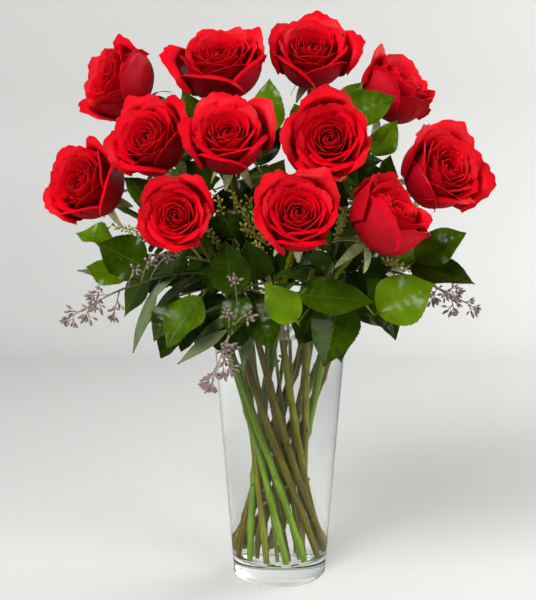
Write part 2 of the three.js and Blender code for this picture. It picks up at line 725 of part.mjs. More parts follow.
// Side twigs with a head of seeds each, turned until the head is clear.
function seedHeads(stem) {
  const draw = seeded(stem.seed + 100);
  const heads = [];
  for (let i = 0; i < stem.clusters; i++) {
    const t = mix(1, SPRAY_START + 0.05, i / (stem.clusters - 1));
    const root = onBend(stem, t);
    const tangent = stem.bend.getTangent(t);
    const start = across(UP, tangent);
    const reach = 15 + 9 * draw();
    const lean = degrees(i ? 52 : 0);
    const spin = 360 * draw();
    for (let k = 0; k < 12; k++) {
      const out = start.clone().applyAxisAngle(tangent, degrees(i * 137.5 + 30 * k));
      const along = tangent.clone().multiplyScalar(Math.cos(lean)).addScaledVector(out, Math.sin(lean));
      const middle = root.clone().addScaledVector(along, reach);
      if (!isClear([middle], blooms, SEED_HEAD_RADIUS, stem)) continue;
      take([middle], SEED_HEAD_RADIUS - 3);
      heads.push({ root, along, reach, spin, normal: across(out, along) });
      break;
    }
  }
  return heads;
}

// A pointed seed, widest past its middle.
function seed(root, way, side, length, radius) {
  const belly = root.clone().addScaledVector(way, length * 0.62);
  const third = way.clone().cross(side);
  const corners = [0, 120, 240].map((a) =>
    belly
      .clone()
      .addScaledVector(side, radius * Math.cos(degrees(a)))
      .addScaledVector(third, radius * Math.sin(degrees(a))),
  );
  const tip = root.clone().addScaledVector(way, length);
  const geometry = new THREE.BufferGeometry();
  geometry.setFromPoints([root, ...corners, tip]);
  geometry.setIndex([0, 2, 1, 0, 3, 2, 0, 1, 3, 4, 1, 2, 4, 2, 3, 4, 3, 1]);
  return solidOf(geometry);
}

// A twig that ends in a seed, with three more round it.
function seedHeadSolids({ root, along, normal, reach, spin }) {
  const at = (d) => root.clone().addScaledVector(along, d);
  const points = [root, at(reach - 2), at(reach + 3.5), at(reach + 7)];
  const twig = limb(points, [0.9, 0.8, SEED_RADIUS, 0.4], 3);
  const seeds = [0, 1, 2].map((i) => {
    const out = normal.clone().applyAxisAngle(along, degrees(spin + 120 * i));
    const way = along.clone().addScaledVector(out, 1.3).normalize();
    return seed(at(reach - 4.5 - 1.5 * i), way, across(along, way), SEED_LENGTH, SEED_RADIUS);
  });
  return [twig, ...seeds];
}

// ---- Assembly ----

const arrangement = new THREE.Group();
arrangement.add(meshOf("vase", vase(), CLEAR_GLASS));
arrangement.add(meshOf("water", water([...roseStems, ...salalStems, ...eucalyptusStems]), WATER));

blooms.forEach((bloom, i) => {
  arrangement.add(meshOf(`rose_bloom_${bloom.name}`, bloomSolid(bloom), RED));
  arrangement.add(meshOf(`rose_stem_${bloom.name}`, roseStem(roseStems[i], bloom), STEM_GREEN));
});

salalStems.forEach((stem, i) => {
  const branch = limbOf(stemPoints(stem, 1), stem.radius, stem.sides);
  const shoots = keyShoots[i].map(({ ends }) => limb(ends, [1.1, 0.9], 3));
  const leaves = [...keyShoots[i].map(({ leaf }) => leaf), ...salalLeaves[i]];
  const solid = joined([branch, ...shoots, ...leaves.map(leafSolid)]);
  arrangement.add(meshOf(`salal_${stem.name}`, solid, LEAF_GREEN));
});

eucalyptusStems.forEach((stem, i) => {
  const branch = limbOf(stemPoints(stem, SPRAY_START - 0.01), stem.radius, stem.sides);
  const solid = joined([branch, ...eucalyptusLeaves[i].map(leafSolid)]);
  arrangement.add(meshOf(`eucalyptus_stem_${stem.name}`, solid, GREY_GREEN));
  const end = stem.knots.filter((t) => t >= SPRAY_START).map((t) => stem.bend.getPoint(t));
  const spray = joined([limbOf(end, 1.2, 4), ...seedHeads(stem).flatMap(seedHeadSolids)]);
  arrangement.add(meshOf(`eucalyptus_seeds_${stem.name}`, spray, SEED_BROWN));
});

export default arrangement;
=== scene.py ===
"""Roses in a vase: the looks of the arrangement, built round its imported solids.

Shapes are worked out in millimetres and go into their meshes in metres. The plan of stems, blooms
and leaves is the one that the solids follow, so each finer piece stands where its solid is.
"""

import functools
import json
import math

import bpy
import numpy as np
from mathutils import Matrix, Vector

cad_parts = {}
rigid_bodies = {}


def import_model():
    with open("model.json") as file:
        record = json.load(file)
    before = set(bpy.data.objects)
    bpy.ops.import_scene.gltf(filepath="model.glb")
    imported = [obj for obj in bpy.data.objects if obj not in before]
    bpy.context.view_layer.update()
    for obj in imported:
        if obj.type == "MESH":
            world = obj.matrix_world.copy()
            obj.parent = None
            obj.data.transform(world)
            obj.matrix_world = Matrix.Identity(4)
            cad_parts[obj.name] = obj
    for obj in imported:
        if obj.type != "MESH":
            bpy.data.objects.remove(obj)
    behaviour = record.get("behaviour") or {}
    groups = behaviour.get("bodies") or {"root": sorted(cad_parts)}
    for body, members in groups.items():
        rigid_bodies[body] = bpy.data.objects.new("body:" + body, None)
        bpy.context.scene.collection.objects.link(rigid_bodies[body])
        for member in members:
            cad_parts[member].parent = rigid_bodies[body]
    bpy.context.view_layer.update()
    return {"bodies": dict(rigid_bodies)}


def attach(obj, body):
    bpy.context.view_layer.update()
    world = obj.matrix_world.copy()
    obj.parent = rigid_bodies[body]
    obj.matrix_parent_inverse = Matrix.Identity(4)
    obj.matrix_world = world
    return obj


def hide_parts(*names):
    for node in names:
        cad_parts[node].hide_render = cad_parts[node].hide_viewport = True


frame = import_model()
BODY = next(iter(frame["bodies"]))
MM = 0.001

# ---- The camera of the photograph ----

IMAGE_WIDTH, IMAGE_HEIGHT = 536, 600
FOCAL_PIXELS = 1150
CAMERA_PLACE = (-0.0115, -1.1, 0.458)
CAMERA_PITCH = 9.4  # degrees below level

camera_data = bpy.data.cameras.new("camera")
camera_data.sensor_width = 36
camera_data.lens = camera_data.sensor_width * FOCAL_PIXELS / max(IMAGE_WIDTH, IMAGE_HEIGHT)
camera = bpy.data.objects.new("camera", camera_data)
camera.location = CAMERA_PLACE
camera.rotation_euler = (math.radians(90 - CAMERA_PITCH), 0, 0)
bpy.context.scene.collection.objects.link(camera)
bpy.context.scene.camera = camera

# ---- The plan of the arrangement, in millimetres ----

VASE_HEIGHT = 268
FOOT_RADIUS = 45.5
MOUTH_RADIUS = 66
WALL = 3.2
FOOT_THICKNESS = 19
WATER_LEVEL = 250
TWIST = 130
NECK_HEIGHT = 262
STEM_GAP = 0.3
ROSE_STEM = dict(radius=3, foot_ring=34, neck_ring=46, knots=(0, 0.3, 0.6, 0.85, 1))
SALAL_STEM = dict(radius=1.5, foot_ring=19, neck_ring=28, knots=(0, 0.3, 0.65, 1))
SPRAY_START = 0.78
GUM_KNOTS = (0, 0.3, 0.55, SPRAY_START - 0.01, SPRAY_START, 0.9, 1)
GUM_STEM = {**SALAL_STEM, "knots": GUM_KNOTS}
BLOOM_HEIGHT = 52

# Where the middle of each bloom is, the way it faces, its size, how open it is, the turn of its
# spiral, and the angle at which its stem leaves the mouth.
ROSES = (
    ("1", (-154, 35, 479), (-0.78, -0.43, 0.45), 1.04, 0.6, 20, 120),
    ("2", (-56, 32, 498), (-0.08, -0.55, 0.83), 1.12, 1.0, 185, 90),
    ("3", (32, 52, 508), (0.02, -0.7, 0.71), 1.03, 0.95, 10, 60),
    ("4", (111, 38, 474), (0.62, -0.35, 0.68), 1.0, 0.55, 30, 30),
    ("5", (-116, -33, 427), (-0.45, -0.72, 0.52), 0.97, 0.75, 50, 180),
    ("6", (-46, -76, 430), (-0.05, -0.74, 0.67), 0.97, 0.95, 40, -120),
    ("7", (44, -77, 430), (-0.12, -0.96, 0.24), 0.94, 0.85, 105, -60),
    ("8", (-183, 2, 384), (-0.55, -0.68, 0.44), 1.02, 0.75, 0, 150),
    ("9", (-89, -107, 366), (-0.1, -0.97, 0.22), 0.8, 0.9, 54, -150),
    ("10", (14, -122, 366), (0.03, -0.85, 0.55), 0.91, 0.9, 60, -90),
    ("11", (92, -98, 361), (0.63, -0.36, 0.69), 1.0, 0.25, 40, -30),
    ("12", (148, -15, 398), (0.52, -0.72, 0.45), 1.09, 0.8, -15, 0),
)

# Each branch of salal: its tip, how far it goes on straight from the mouth, the angle at which it
# leaves, its leaves, their length, and the seed of its draws.
SALAL = (
    ("left", (-128, -46, 326), 56, 165, 7, 74, 11),
    ("left_low", (-92, -74, 292), 44, -135, 7, 72, 23),
    ("front_left", (-34, -84, 300), 44, -75, 6, 72, 31),
    ("front_right", (64, -84, 298), 42, -40, 6, 72, 47),
    ("right", (112, -50, 316), 52, -15, 7, 74, 59),
    ("top_left", (-50, -4, 440), 90, 105, 6, 68, 61),
    ("top_right", (50, -6, 444), 90, 75, 6, 68, 67),
    ("back_left", (-80, 84, 372), 80, 135, 5, 80, 73),
    ("back_right", (78, 86, 366), 80, 50, 5, 80, 89),
)

# The large leaves that show most, each on a shoot: the branch, how far along its bend the shoot
# starts, the two ends of the leaf, its width, how far its face is rolled, and how light it is.
KEY_LEAVES = (
    ("left", 0.9, (-118, -62, 314), (-166, -62, 338), 44, -10, 0.3),
    ("left", 1, (-148, -50, 336), (-188, -50, 346), 28, 15, 0.9),
    ("left", 0.95, (-136, -66, 306), (-176, -72, 318), 30, 0, 0.8),
    ("left_low", 0.7, (-66, -98, 300), (-101, -104, 250), 46, 12, 0.6),
    ("front_left", 0.8, (-47, -68, 291), (-49, -80, 236), 53, -8, 0.1),
    ("front_left", 0.9, (-42, -94, 292), (-49, -102, 346), 38, 10, 0.3),
    ("front_right", 0.6, (16, -112, 272), (-14, -118, 311), 32, -30, 1.0),
    ("front_left", 1, (6, -98, 297), (82, -106, 291), 37, 0, 0.5),
    ("front_right", 1, (80, -92, 276), (136, -92, 306), 50, 0, 0.95),
    ("right", 1, (117, -62, 320), (168, -64, 348), 38, -15, 0.5),
    ("top_left", 0.8, (-12, 2, 428), (-10, 4, 487), 34, 0, 0.9),
    ("top_right", 1, (54, 8, 452), (78, 14, 484), 24, 10, 0.7),
    ("top_left", 1, (-70, 4, 438), (-93, 8, 476), 26, -10, 0.4),
    ("left", 0.6, (-108, -14, 362), (-146, -24, 396), 28, 10, 0.5),
    ("top_left", 0.7, (-60, -26, 382), (-88, -32, 412), 26, 0, 0.4),
    ("top_right", 0.8, (84, -10, 412), (109, -14, 448), 28, 0, 0.8),
    ("right", 0.7, (90, -6, 376), (104, -8, 416), 28, 10, 0.5),
    ("top_right", 0.6, (44, -46, 366), (56, -62, 392), 26, 0, 0.2),
    ("front_left", 0.6, (-41, -45, 338), (-57, -46, 371), 28, 0, 0.2),
)

# Each stem of seeded eucalyptus: tip, straight part, angle, leaves, heads of seeds, seed of draws.
EUCALYPTUS = (
    ("left", (-176, -82, 282), 66, -165, 7, 5, 7),
    ("front", (-56, -122, 236), 74, -105, 5, 5, 17),
    ("right", (164, -52, 286), 70, 15, 8, 5, 29),
)

UP = np.array((0.0, 0.0, 1.0))


def unit(v):
    return v / np.linalg.norm(v)


def across(v, n):
    """v less its share along the unit vector n, at unit length."""
    return unit(v - n * (v @ n))


def mix(a, b, t):
    return a + (b - a) * t


def turned(v, axis, degrees):
    """v turned about a unit axis."""
    a = math.radians(degrees)
    turn = np.cross(axis, v) * math.sin(a) + axis * (axis @ v) * (1 - math.cos(a))
    return v * math.cos(a) + turn


def seeded(seed):
    """A draw from 0 to 1 that is the same on every run."""
    state = seed

    def draw():
        nonlocal state
        state = (state * 1664525 + 1013904223) % 4294967296
        return state / 4294967296

    return draw


def on_ring(radius, degrees, z):
    a = math.radians(degrees)
    return np.array((radius * math.cos(a), radius * math.sin(a), z))


def cubic(corners, t):
    """Points of a Bezier curve through its four corners, at one t or many."""
    t = np.asarray(t, float)[..., None]
    w = 1 - t
    a, b, c, d = corners
    return w**3 * a + 3 * w * w * t * b + 3 * w * t * t * c + t**3 * d


def stem_path(kind, slot, end, arrives, pull=None):
    """A stem: straight from its foot up to the neck, then a bend that reaches end as it arrives."""
    neck = on_ring(kind["neck_ring"], slot, NECK_HEIGHT)
    foot_height = FOOT_THICKNESS + STEM_GAP + kind["radius"] / 2
    foot = on_ring(kind["foot_ring"], slot + TWIST, foot_height)
    lean = unit(neck - foot)
    reach = np.linalg.norm(end - neck)
    ahead = reach * 0.35 if pull is None else pull
    bend = (neck, neck + lean * ahead, end - arrives * reach * 0.4, end)
    return {**kind, "bend": bend, "foot": foot, "neck": neck}


def tangent_at(stem, t):
    step = 1e-4
    ends = cubic(stem["bend"], [max(0, t - step), min(1, t + step)])
    return unit(ends[1] - ends[0])


def on_knots(stem, t):
    """The point at part t of a bend, on the straight pieces that the solid stem is made of."""
    knots = stem["knots"]
    after = max(1, next(i for i, knot in enumerate(knots) if knot >= t))
    a, b = cubic(stem["bend"], knots[after - 1 : after + 1])
    return mix(a, b, (t - knots[after - 1]) / (knots[after] - knots[after - 1]))


def spaced_points(stem, count):
    """Points at even lengths along a bend."""
    steps = np.linspace(0, 1, 201)
    along = np.linalg.norm(np.diff(cubic(stem["bend"], steps), axis=0), axis=1)
    lengths = np.concatenate(([0], np.cumsum(along)))
    return cubic(stem["bend"], np.interp(np.linspace(0, lengths[-1], count), lengths, steps))


def bloom_frame(name, at, faces, size, open_, spin, slot):
    axis = unit(np.array(faces))
    base = np.array(at) - axis * BLOOM_HEIGHT * size / 2
    right = across(np.array((-axis[1], axis[0], 0)), axis)
    front = np.cross(axis, right)
    end = base - axis * 12
    stem = stem_path(ROSE_STEM, slot, end, axis)
    return dict(name=name, axis=axis, base=base, right=right, front=front, size=size,
                open=open_, spin=spin, stem=stem)


def in_bloom(bloom, radius, degrees, height):
    """Points by radius, angle and height in a bloom's frame."""
    a = np.radians(degrees)
    flat = np.multiply.outer(radius * np.cos(a), bloom["right"])
    flat = flat + np.multiply.outer(radius * np.sin(a), bloom["front"])
    return bloom["base"] + flat + np.multiply.outer(height, bloom["axis"])


def green_stem(kind, keys, name, tip, rise, slot, *rest):
    end = np.array(tip, float)
    outward = unit(end * (1, 1, 0))
    arrives = unit(outward + UP * (end[2] - NECK_HEIGHT - rise) / 90)
    return {**stem_path(kind, slot, end, arrives, rise), "name": name, **dict(zip(keys, rest))}


blooms = [bloom_frame(*rose) for rose in ROSES]
salal_stems = [green_stem(SALAL_STEM, ("count", "length", "seed"), *row) for row in SALAL]
gum_stems = [green_stem(GUM_STEM, ("count", "clusters", "seed"), *row) for row in EUCALYPTUS]

# ---- Keeping clear, by the same rule as the solids ----

CLEARANCE, VASE_CLEARANCE = 2.5, 2
NEAR = 10  # how far round a leaf its neighbours are looked for
SEPAL_REACH, CUP_REACH, CUP_FOOT, CUP_SLOPE = 24, 46, 22, 1.5
taken = {"points": np.zeros((0, 3)), "room": np.zeros(0), "owner": np.zeros(0, int)}


def take(points, room, owner=-1):
    count = len(points)
    added = (points, np.full(count, float(room)), np.full(count, owner))
    for key, more in zip(taken, added):
        taken[key] = np.concatenate((taken[key], more))


def outer_radius(z):
    return mix(FOOT_RADIUS, MOUTH_RADIUS, z / VASE_HEIGHT)


def clear_of_blooms(points, room):
    for b in blooms:
        away = points - b["base"]
        h = away @ b["axis"]
        high = h / b["size"]
        reach = np.where(high < -1, SEPAL_REACH, np.minimum(CUP_REACH, CUP_FOOT + CUP_SLOPE * high))
        reach = reach * b["size"] * mix(0.78, 1, b["open"])
        near = (high >= -30) & (high <= BLOOM_HEIGHT + 6)
        out = np.sqrt(np.maximum(0, (away**2).sum(1) - h * h))
        if np.any(near & (out <= reach + room)):
            return False
    return True


def is_clear(points, radius, owner):
    room = radius + VASE_CLEARANCE
    off_vase = np.hypot(points[:, 0], points[:, 1]) > outer_radius(points[:, 2]) + room
    if not np.all(off_vase | (points[:, 2] > VASE_HEIGHT + room)):
        return False
    if not clear_of_blooms(points, radius):
        return False
    low, high = points.min(0) - NEAR - radius, points.max(0) + NEAR + radius
    there = taken["points"]
    near = np.all((there > low) & (there < high), axis=1) & (taken["owner"] != owner)
    gaps = np.linalg.norm(points[:, None] - there[near][None], axis=2)
    return bool(np.all(gaps > taken["room"][near] + radius))


# ---- Leaves ----

GOLDEN_TURN = 137.5  # degrees round a stem from one leaf to the next
FACE_SHIFT = 90
SWING_STEP = 24
# A leaf is tried at full size and smaller ones, each hanging more, and swung round its stem.
FITS = ((1, 0), (1, 0.4), (0.84, 0), (0.84, 0.4), (0.7, 0), (0.7, 0.4), (0.7, 0.8))
SWINGS = [(1 if k % 2 else -1) * math.ceil(k / 2) * SWING_STEP for k in range(15)]
SALAL_LEAF = dict(kind="salal", hang=0.25, stalk=0.12, fold=0.16, wave=2.4, droop=0.16,
                  sickle=0, lightest=0.7)
GUM_LEAF = dict(kind="eucalyptus", splay=48, hang=0.3, stalk=0.1, fold=0.1, wave=0.8, droop=0.1,
                lightest=0.7)
GUM_LEAF_LENGTH = 68


def leaf_share(kind, v):
    """Half the width of a leaf at v along its blade, as a share of its greatest half width."""
    if kind == "salal":
        return np.sin(np.pi * v**0.78) ** 0.8 * (1 - 0.12 * v)
    return np.sin(np.pi * v**0.85)


def leaf_points(leaf, u, v):
    """Points of a leaf at u across and v along: a stalk, and a blade that folds and droops."""
    blade = np.clip((v - leaf["stalk"]) / (1 - leaf["stalk"]), 0, 0.999)
    share = np.maximum(leaf_share(leaf["kind"], blade), 0.03)
    half = np.maximum(0.8, leaf["width"] / 2 * share)
    wave = leaf["wave"] * u * u * share * np.sin(9 * v + leaf["phase"])
    lift = leaf["fold"] * np.abs(u) * half + wave - leaf["droop"] * leaf["length"] * v * v
    sideways = u * half + leaf["sickle"] * leaf["length"] * v * v
    return (
        leaf["root"]
        + np.multiply.outer(leaf["length"] * v, leaf["along"])
        + np.multiply.outer(sideways, leaf["side"])
        + np.multiply.outer(lift, leaf["normal"])
    )


def test_points(columns, rows=14):
    u = np.tile(np.linspace(-1, 1, columns + 1), rows)
    v = np.repeat(np.arange(1, rows + 1) / rows, columns + 1)
    return u, v


def sunward(root, shift=-FACE_SHIFT):
    """The way that leaves at a root turn their faces: out of the bouquet, and up."""
    return unit(np.array((root[0], root[1] + shift, 0))) * 0.8 + UP * 0.6


def aimed(spec, root, along, facing, **more):
    """A leaf that runs along a unit direction, its face turned to another as far as it goes."""
    normal = across(facing, along)
    return {**spec, "root": root, "along": along, "normal": normal,
            "side": np.cross(normal, along), "shift": 0 * UP, **more}


def place_leaf(stem, t, turn, spec, draw):
    """Tries a leaf at one place after another until it is clear of everything."""
    root = on_knots(stem, t)
    tangent = tangent_at(stem, t)
    start = across(unit(root * (1, 1, 0)) + UP * 0.4, tangent)
    facing = sunward(root, -FACE_SHIFT if root[1] < 20 else FACE_SHIFT)
    splay = math.radians(spec["splay"] + 16 * (draw() - 0.5))
    phase = 6 * draw()
    jitter = 24 * (draw() - 0.5)
    u, v = test_points(8 if spec["kind"] == "salal" else 2)
    for scale, sag in FITS:
        for swing in SWINGS:
            out = turned(start, tangent, turn + jitter + swing)
            along = tangent * math.cos(splay) + out * math.sin(splay) - UP * (spec["hang"] + sag)
            leaf = aimed(spec, root, unit(along), facing, phase=phase,
                         length=spec["length"] * scale, width=spec["width"] * scale,
                         shift=cubic(stem["bend"], t) - root)
            points = leaf_points(leaf, u, v)
            if is_clear(points, CLEARANCE, stem["owner"]):
                take(points, CLEARANCE)
                return leaf
    return None


def key_leaf(root, tip, width, rolled, tone):
    """A leaf between two ends. It droops, so it starts out above the line between them."""
    start = np.array(root, float)
    span = np.array(tip) - start
    way = unit(span)
    face = turned(across(sunward(start), way), way, rolled)
    lifted = math.atan(SALAL_LEAF["droop"])
    along = way * math.cos(lifted) + face * math.sin(lifted)
    length = np.linalg.norm(span) * math.cos(lifted)
    return aimed(SALAL_LEAF, start, along, face, length=length, width=width, phase=width, tone=tone)


def leaf_spec(stem, i, draw):
    """What leaf a stem bears: a broad one on salal, and a narrow bent one on a gum."""
    if "clusters" in stem:
        length = GUM_LEAF_LENGTH * (0.8 + 0.35 * draw())
        return {**GUM_LEAF, "length": length, "width": length * 0.2, "sickle": 0.1 * (draw() - 0.5)}
    length = stem["length"] * (0.86 + 0.26 * draw())
    return {**SALAL_LEAF, "splay": 58 if i else 8, "length": length, "width": length * 0.62}


def grow_leaves(stem, first, last):
    """A stem's leaves from one part of its bend to another, wherever they have room."""
    draw = seeded(stem["seed"])
    for i in range(stem["count"]):
        t = mix(first, last, i / (stem["count"] - 1))
        spec = leaf_spec(stem, i, draw)
        leaf = place_leaf(stem, t, i * GOLDEN_TURN, spec, draw)
        if leaf:
            stem["leaves"].append(leaf)


for number, stem in enumerate([b["stem"] for b in blooms] + salal_stems + gum_stems):
    stem.update(owner=number, leaves=[], shoots=[])
    take(spaced_points(stem, 51), stem["radius"] + 0.6, number)

for stem in salal_stems:
    for branch, start, *rest in KEY_LEAVES:
        if branch != stem["name"]:
            continue
        leaf = key_leaf(*rest)
        shoot = np.array((on_knots(stem, start), leaf["root"] + leaf["along"] * 3))
        take(leaf_points(leaf, *test_points(8)), CLEARANCE)
        take(np.array([mix(*shoot, t) for t in (0.2, 0.4, 0.6, 0.8)]), CLEARANCE, stem["owner"])
        stem["shoots"].append((cubic(stem["bend"], start), shoot[1]))
        stem["leaves"].append(leaf)

for stem in salal_stems:
    grow_leaves(stem, 1, 0.3)
for stem in gum_stems:
    grow_leaves(stem, 0.72, 0.2)

SEED_HEAD_RADIUS = 10


def place_heads(stem):
    """Side twigs with a head of seeds each, turned until the head is clear."""
    draw = seeded(stem["seed"] + 100)
    heads = []
    for i in range(stem["clusters"]):
        t = mix(1, SPRAY_START + 0.05, i / (stem["clusters"] - 1))
        root = on_knots(stem, t)
        tangent = tangent_at(stem, t)
        start = across(UP, tangent)
        reach = 15 + 9 * draw()
        lean = math.radians(52 if i else 0)
        spin = 360 * draw()
        for k in range(12):
            out = turned(start, tangent, i * GOLDEN_TURN + 30 * k)
            along = tangent * math.cos(lean) + out * math.sin(lean)
            middle = (root + along * reach)[None]
            if is_clear(middle, SEED_HEAD_RADIUS, stem["owner"]):
                take(middle, SEED_HEAD_RADIUS - 3)
                heads.append((cubic(stem["bend"], t), along, across(out, along), reach, spin))
                break
    return heads


for stem in gum_stems:
    stem["heads"] = place_heads(stem)

# ---- Materials ----


def linear(hex_colour):
    """A colour written as sRGB hex, turned to linear."""
    channels = [int(hex_colour[i : i + 2], 16) / 255 for i in (1, 3, 5)]
    return (*[c / 12.92 if c <= 0.04045 else ((c + 0.055) / 1.055) ** 2.4 for c in channels], 1)


def add_node(tree, kind, inputs=(), output=0, stops=(), **settings):
    """Adds a node and returns an output of it, or a list of them.

    Inputs are values or the sockets that feed them, in order or by name. Stops are the places on a
    ramp, each with a hex colour or a plain number.
    """
    made = tree.nodes.new("ShaderNode" + kind)
    for name, value in settings.items():
        setattr(made, name, value)
    for key, value in inputs.items() if isinstance(inputs, dict) else enumerate(inputs):
        if isinstance(value, bpy.types.NodeSocket):
            tree.links.new(value, made.inputs[key])
        else:
            made.inputs[key].default_value = value
    for i, (place, colour) in enumerate(stops):
        elements = made.color_ramp.elements
        element = elements[i] if i < len(elements) else elements.new(1)
        element.position = place
        element.color = linear(colour) if isinstance(colour, str) else (colour, colour, colour, 1)
    if isinstance(output, tuple):
        return [made.outputs[key] for key in output]
    return made.outputs[output] if made.outputs else None


def material(build):
    """Makes a function that adds nodes and returns their shader into one that makes a material."""

    def make(name, *values):
        made = bpy.data.materials.new(name)
        made.use_nodes = True
        made.node_tree.nodes.clear()
        add = functools.partial(add_node, made.node_tree)
        add("OutputMaterial", (build(add, *values),))
        return made

    return make


def formula(add, value, *steps):
    """A value taken through one sum after another, each with its other numbers."""
    for operation, *others in steps:
        value = add("Math", (value, *others), operation=operation)
    return value


def mottle(add, size_mm, detail=2, stretch=(1, 1, 1)):
    """Cloudy patches of about that size, on the object's own coordinates."""
    place = add("TexCoord", output="Object")
    place = add("Mapping", {"Vector": place, "Scale": stretch})
    return add("TexNoise", {"Vector": place, "Scale": 1 / (size_mm * MM), "Detail": detail})


def sheet_parts(add):
    """A point's place on its thin sheet, across and along from 0 to 1, and the sheet's tone."""
    sheet, tone = (add("UVMap", uv_map=name) for name in ("sheet", "tone"))
    return *add("SeparateXYZ", (sheet,), ("X", "Y")), add("SeparateXYZ", (tone,))


@material
def petal_material(add, painted_root_shade, body, painted_fold_light, sheen):
    """Rose petal: soft cells like velvet, so no sharp gloss, and light carries in the flesh."""
    across_, along, tone = sheet_parts(add)
    # Painted shade and light: darker towards a petal's root in the cup, lighter towards its fold.
    shade = formula(add, mottle(add, 9, 3), ("MULTIPLY", 0.2))
    shade = formula(add, tone, ("MULTIPLY_ADD", 0.18, shade))
    shade = formula(add, along, ("MULTIPLY_ADD", 0.62, shade))
    # The ramp goes from painted shade at the root to painted light at the fold, a little less at
    # the rim.
    stops = ((0.25, painted_root_shade), (0.52, body), (0.7, painted_fold_light), (0.92, body))
    # The veins of a petal fan out from its root, about 1.4 mm apart at the rim.
    fine = mottle(add, 2.2)
    relief = formula(add, across_, ("MULTIPLY", 190), ("SINE",), ("MULTIPLY_ADD", 0.25, fine))
    return add("BsdfPrincipled", {
        "Base Color": add("ValToRGB", (shade,), stops=stops),
        "Roughness": 0.5, "Specular IOR Level": 0.12,
        "Sheen Weight": sheen, "Sheen Roughness": 0.45, "Sheen Tint": linear("#ff5a66"),
        "Subsurface Weight": 0.18, "Subsurface Radius": (1, 0.12, 0.1), "Subsurface Scale": 0.0025,
        "Normal": add("Bump", {"Height": relief, "Distance": 0.18 * MM}),
    })


# Colours: the painted shade at a petal's root, its plain red, and the painted light at its fold.
PETAL_FACE = petal_material("velvet_petal_face", "#5a0005", "#b2000e", "#e2001a", 0.01)
PETAL_BACK = petal_material("velvet_petal_back", "#74020e", "#b00318", "#d40524", 0.02)


@material
def leaf_material(add, dark, middle, light, vein, smooth_end, rough_end, spacing):
    """A leathery leaf: a waxed skin, quilted between side veins that lean towards the tip."""
    across_, along, tone = sheet_parts(add)
    off = formula(add, across_, ("SUBTRACT", 0.5), ("ABSOLUTE",), ("MULTIPLY", 2))
    lean = formula(add, off, ("POWER", 1.3), ("MULTIPLY_ADD", -0.16, along))
    fading = formula(add, off, ("POWER", 2), ("MULTIPLY_ADD", -1, 1))
    side = formula(add, lean, ("MULTIPLY", 2 * math.pi * spacing), ("COSINE",), ("MAXIMUM", 0),
                   ("POWER", 14), ("MULTIPLY", fading), ("MULTIPLY", 0.5))
    veins = formula(add, off, ("LESS_THAN", 0.03), ("MAXIMUM", side))
    cloud = mottle(add, 14, 3)
    shade = formula(add, tone, ("MULTIPLY_ADD", 0.6, formula(add, cloud, ("MULTIPLY", 0.4))))
    colour = add("ValToRGB", (shade,), stops=((0.2, dark), (0.5, middle), (0.8, light)))
    colour = add("Mix", {0: formula(add, veins, ("MULTIPLY", 0.14)), 6: colour, 7: linear(vein)}, 2,
                 data_type="RGBA")
    relief = formula(add, mottle(add, 6, 1), ("MULTIPLY", 0.4), ("SUBTRACT", veins))
    rough = add("ValToRGB", (cloud,), stops=((0.3, smooth_end), (0.7, rough_end)))
    return add("BsdfPrincipled", {
        "Base Color": colour, "Roughness": rough, "Specular IOR Level": 0.12,
        "Subsurface Weight": 0.06, "Subsurface Radius": (0.4, 1, 0.15), "Subsurface Scale": 0.0015,
        "Normal": add("Bump", {"Height": relief, "Distance": 0.1 * MM}),
    })


SALAL_TOP = leaf_material(
    "waxed_salal_leaf", "#192500", "#304802", "#587606", "#8c9c3c", 0.171, 0.283, 8)
SALAL_UNDER = leaf_material(
    "dull_salal_underside", "#3f5214", "#556a20", "#71823a", "#98a55c", 0.262, 0.407, 8)
ROSE_LEAF = leaf_material("rose_leaf", "#16240a", "#263a0e", "#3f5a14", "#6a7c3a", 0.171, 0.283, 7)
ROSE_LEAF_UNDER = leaf_material(
    "rose_leaf_underside", "#34481e", "#465c2a", "#5e7340", "#82925c", 0.262, 0.407, 7)
GUM_TOP = leaf_material(
    "bloomed_gum_leaf", "#4e5a36", "#66734e", "#87926f", "#a5ab88", 0.216, 0.342, 16)
GUM_UNDER = leaf_material(
    "dull_gum_underside", "#66704e", "#7f8a6a", "#9aa384", "#b0b69c", 0.283, 0.434, 16)

# Bark runs in long streaks up a stem, so its noise is drawn out along Z.
STREAKS = (1, 1, 0.12)


@material
def skin_material(add, dark, light, size_mm, rough, relief_mm, stretch=(1, 1, 1)):
    """Plain plant skin in two mingled tones, such as bark, sepal, twig or seed."""
    cloud = mottle(add, size_mm, 4, stretch)
    return add("BsdfPrincipled", {
        "Base Color": add("ValToRGB", (cloud,), stops=((0.3, dark), (0.7, light))),
        "Roughness": rough, "Specular IOR Level": 0.4,
        "Normal": add("Bump", {"Height": cloud, "Distance": relief_mm * MM}),
    })


@material
def cane_material(add, dark, light, flush):
    """A rose's cane: ribbed along its length, with flushes of another colour a few cm long."""
    skin = add("Attribute", output="Vector", attribute_name="skin")
    ribs = add("Mapping", {"Vector": skin, "Scale": (1, 1, 0.05)})
    ribs = add("TexNoise", {"Vector": ribs, "Scale": 420, "Detail": 3})
    wide = add("Mapping", {"Vector": skin, "Scale": (1, 1, 0.4)})
    wide = add("TexNoise", {"Vector": wide, "Scale": 90, "Detail": 2})
    patch = add("ValToRGB", (wide,), stops=((0.45, 0), (0.62, 0.521)))
    colour = add("ValToRGB", (ribs,), stops=((0.32, dark), (0.68, light)))
    colour = add("Mix", {0: patch, 6: colour, 7: linear(flush)}, 2, data_type="RGBA")
    return add("BsdfPrincipled", {
        "Base Color": colour, "Roughness": 0.42, "Specular IOR Level": 0.22,
        "Normal": add("Bump", {"Height": ribs, "Distance": 0.3 * MM}),
    })


